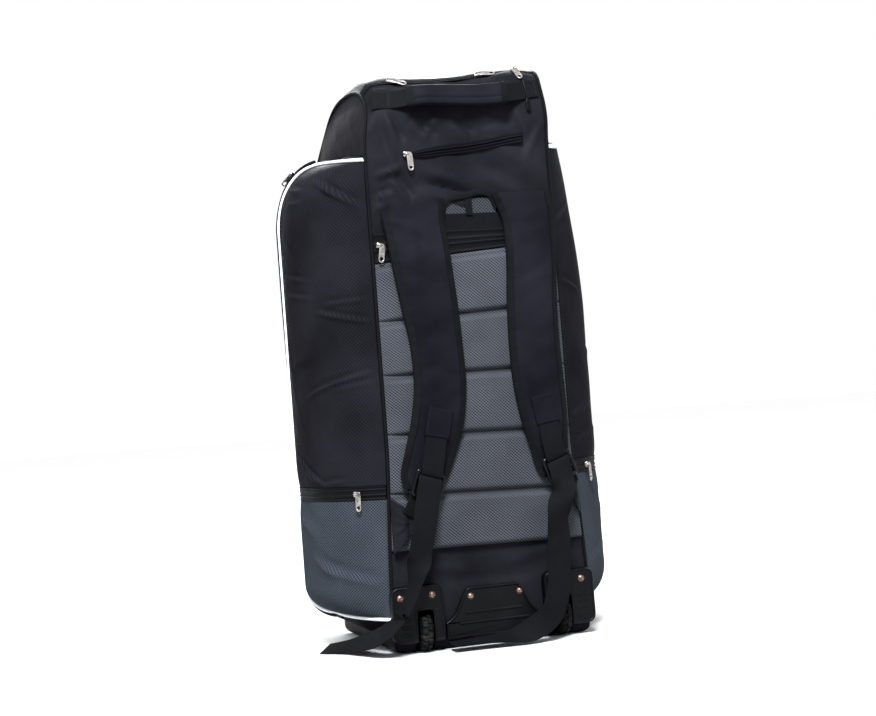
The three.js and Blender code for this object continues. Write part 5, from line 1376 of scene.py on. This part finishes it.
def pullShells(hole, level):
    # pull: ring between its outer edge and its hole, both ovals round one line; slider and bridge behind it,
    # turned a quarter and set aside where the zip runs level
    angle = np.linspace(0, 2 * np.pi, 49)[:, None]
    c, s = np.cos(angle), np.sin(angle)
    fromMiddle = pull["length"] * np.sign(s) * np.abs(s) ** 0.75
    half = pull["wide"] - pull["waist"] * np.cos(fromMiddle / pull["waistPitch"]) ** 2
    outer = np.stack([np.sign(c) * np.abs(c) ** 0.7 * half, pull["middle"] + fromMiddle], -1)
    holeAt, holeLong, holeWide = hole
    inner = np.stack([holeWide * c, holeAt + holeLong * s], -1)
    turn = np.linspace(0, 2 * np.pi, 17)[None, :]
    share = 0.5 + 0.5 * np.sign(np.cos(turn)) * np.abs(np.cos(turn)) ** 0.5
    height = pull["rise"] + pull["thick"] / 2 * np.sign(np.sin(turn)) * np.abs(np.sin(turn)) ** 0.6
    flat = mix(inner, outer, share[..., None])
    plate = gridShell(np.stack([flat[..., 0], height + 0 * flat[..., 0], flat[..., 1]], -1))
    slider = plateShell(roundedLine(pull["slider"], 6), pull["sliderRings"], onFace)
    arch = np.linspace(0, np.pi, 16)
    bridge = np.stack([0 * arch, pull["bridgeFoot"] + pull["bridgeRise"] * np.sin(arch),
                       pull["bridgeAt"] + pull["bridgeHalf"] * np.cos(arch)], 1)
    shells = [slider, tubeShell(bridge, pull["bridgeRadius"], 10, (1, 0, 0))]
    if level:
        shells = [(verts[:, [2, 1, 0]] * (1, 1, -1) + (pull["aside"], 0, 0), faces, lay)
                  for verts, faces, lay in shells]
    return [plate] + shells


def placed(shell, at, outward, lying):
    # local x, outward, up turned to the place's own directions
    outward = unit(np.asarray(outward, float))
    up = -np.asarray(lying, float)
    up = unit(up - outward * (up @ outward))
    side = np.cross(up, -outward)
    verts, faces, lay = shell
    return np.asarray(at) + verts @ np.stack([side, outward, up]), faces, lay


def pullPlaces():
    # for each pull: its place on its zip, the way out of the cloth, the way it lies, and its hole
    back, down, places = (0, -1, 0), (0, 0, -1), {}
    for name, hole in (("back_pocket_pull", pull["dot"]), ("stow_pull", pull["slot"])):
        at, lying = pull[name]
        places[name] = (onBack(*at), back, lying, hole)
    beside = np.array([-1, 0, 1])
    for side, flip in (("left", (-1, 1, 1)), ("right", (1, 1, 1))):
        p, z = np.meshgrid(pull["pocketShare"] + pull["pocketStep"] * beside, zipMiddle(side) + beside)
        grid = pocketPoint(p, z, [], side)
        at, out = grid[1, 1], facing(grid)[1, 1]
        places[f"side_pull_{side}"] = ((at + out * pull["pocketLift"]) * flip, out * flip, down, pull["slot"])
        edge, out = pocketRim(side)
        row = int(pull["rimShare"] * (len(edge) - 1))
        above = pocket["coilOut"] + pocket["coilDeep"] / 2
        at = edge[row] + out[row] * above + (pocket["coilAside"][0], 0, 0)
        lying = edge[row + pull["rimStep"]] - edge[row]
        places[f"gusset_pull_{side}"] = (at * flip, out[row] * flip, lying * flip, pull["slot"])
    for end, x, lying in pull["top"]:
        u = x / pull["topHalf"]
        at, above = (strip(u, pull["topAt"], pull["topLift"] + more) for more in (0, 1))
        places[f"top_pull_{end}"] = (at, above - at + (0, -pull["topBack"], 0), lying, pull["slot"])
    return places


def buildPulls():  # each pull turned to its place; those on the back and sides run level
    for name, (at, outward, lying, hole) in pullPlaces().items():
        level = name.startswith(("back", "stow", "side"))
        shells = [placed(shell, at, outward, lying) for shell in pullShells(hole, level)]
        piece(name.replace("pull", "slider"), shells, steel, [name], closed=True, sharp=40)


def buildPaddle():
    # moulded puller on the right of the top zip: a thin neck that widens to a paddle, lying down the back
    a, b = np.meshgrid(np.linspace(-1, 1, 9), np.linspace(0, 1, 60))
    end = np.sqrt(1 - np.clip(b - paddle["endFrom"], 0, paddle["endLength"]) * paddle["endRound"])
    half = mix(paddle["neck"], paddle["wide"], ease(b, *paddle["widens"])) * end
    (x0, z0), (x1, z1) = paddle["from"], paddle["to"]
    x, z = mix(x0, x1, b) + a * half, mix(z0, z1, b)
    thick = paddle["thick"] * np.sqrt(1 - a ** 4)
    shell = padShell(onBack(x, z, paddle["lift"] + thick), onBack(x, z, paddle["lift"] - thick * 0.5))
    piece("pull_paddle", [shell], plastic, closed=True)


buildPulls()
buildPaddle()
print("zip pulls made")


def buildFloor():
    # pale plane, paler away from the bag by the squared distance
    material, wire, shader = newFinish("paleFloor", {"Roughness": 0.9, "Specular IOR Level": 0.1})
    place = wire.node("ShaderNodeTexCoord", output=3)
    x, y = (wire.node("ShaderNodeSeparateXYZ", None, {0: place}, output=k) for k in (0, 1))
    away = (x * x + y * y + wire.noise(3, 2) * 0.2).between(1.5, 40)
    wireUp(wire, shader, colour=away.tint(studio["floorNear"], studio["floorFar"]))
    mesh = bpy.data.meshes.new("floor")
    far = studio["floorReach"]
    mesh.from_pydata([(-far, -far, 0), (far, -far, 0), (far, far, 0), (-far, far, 0)], [], [(0, 1, 2, 3)])
    mesh.materials.append(material)
    floor = bpy.data.objects.new("floor", mesh)
    floor.location.z = -studio["floorDrop"]
    bpy.context.scene.collection.objects.link(floor)


buildFloor()
print("scene made")
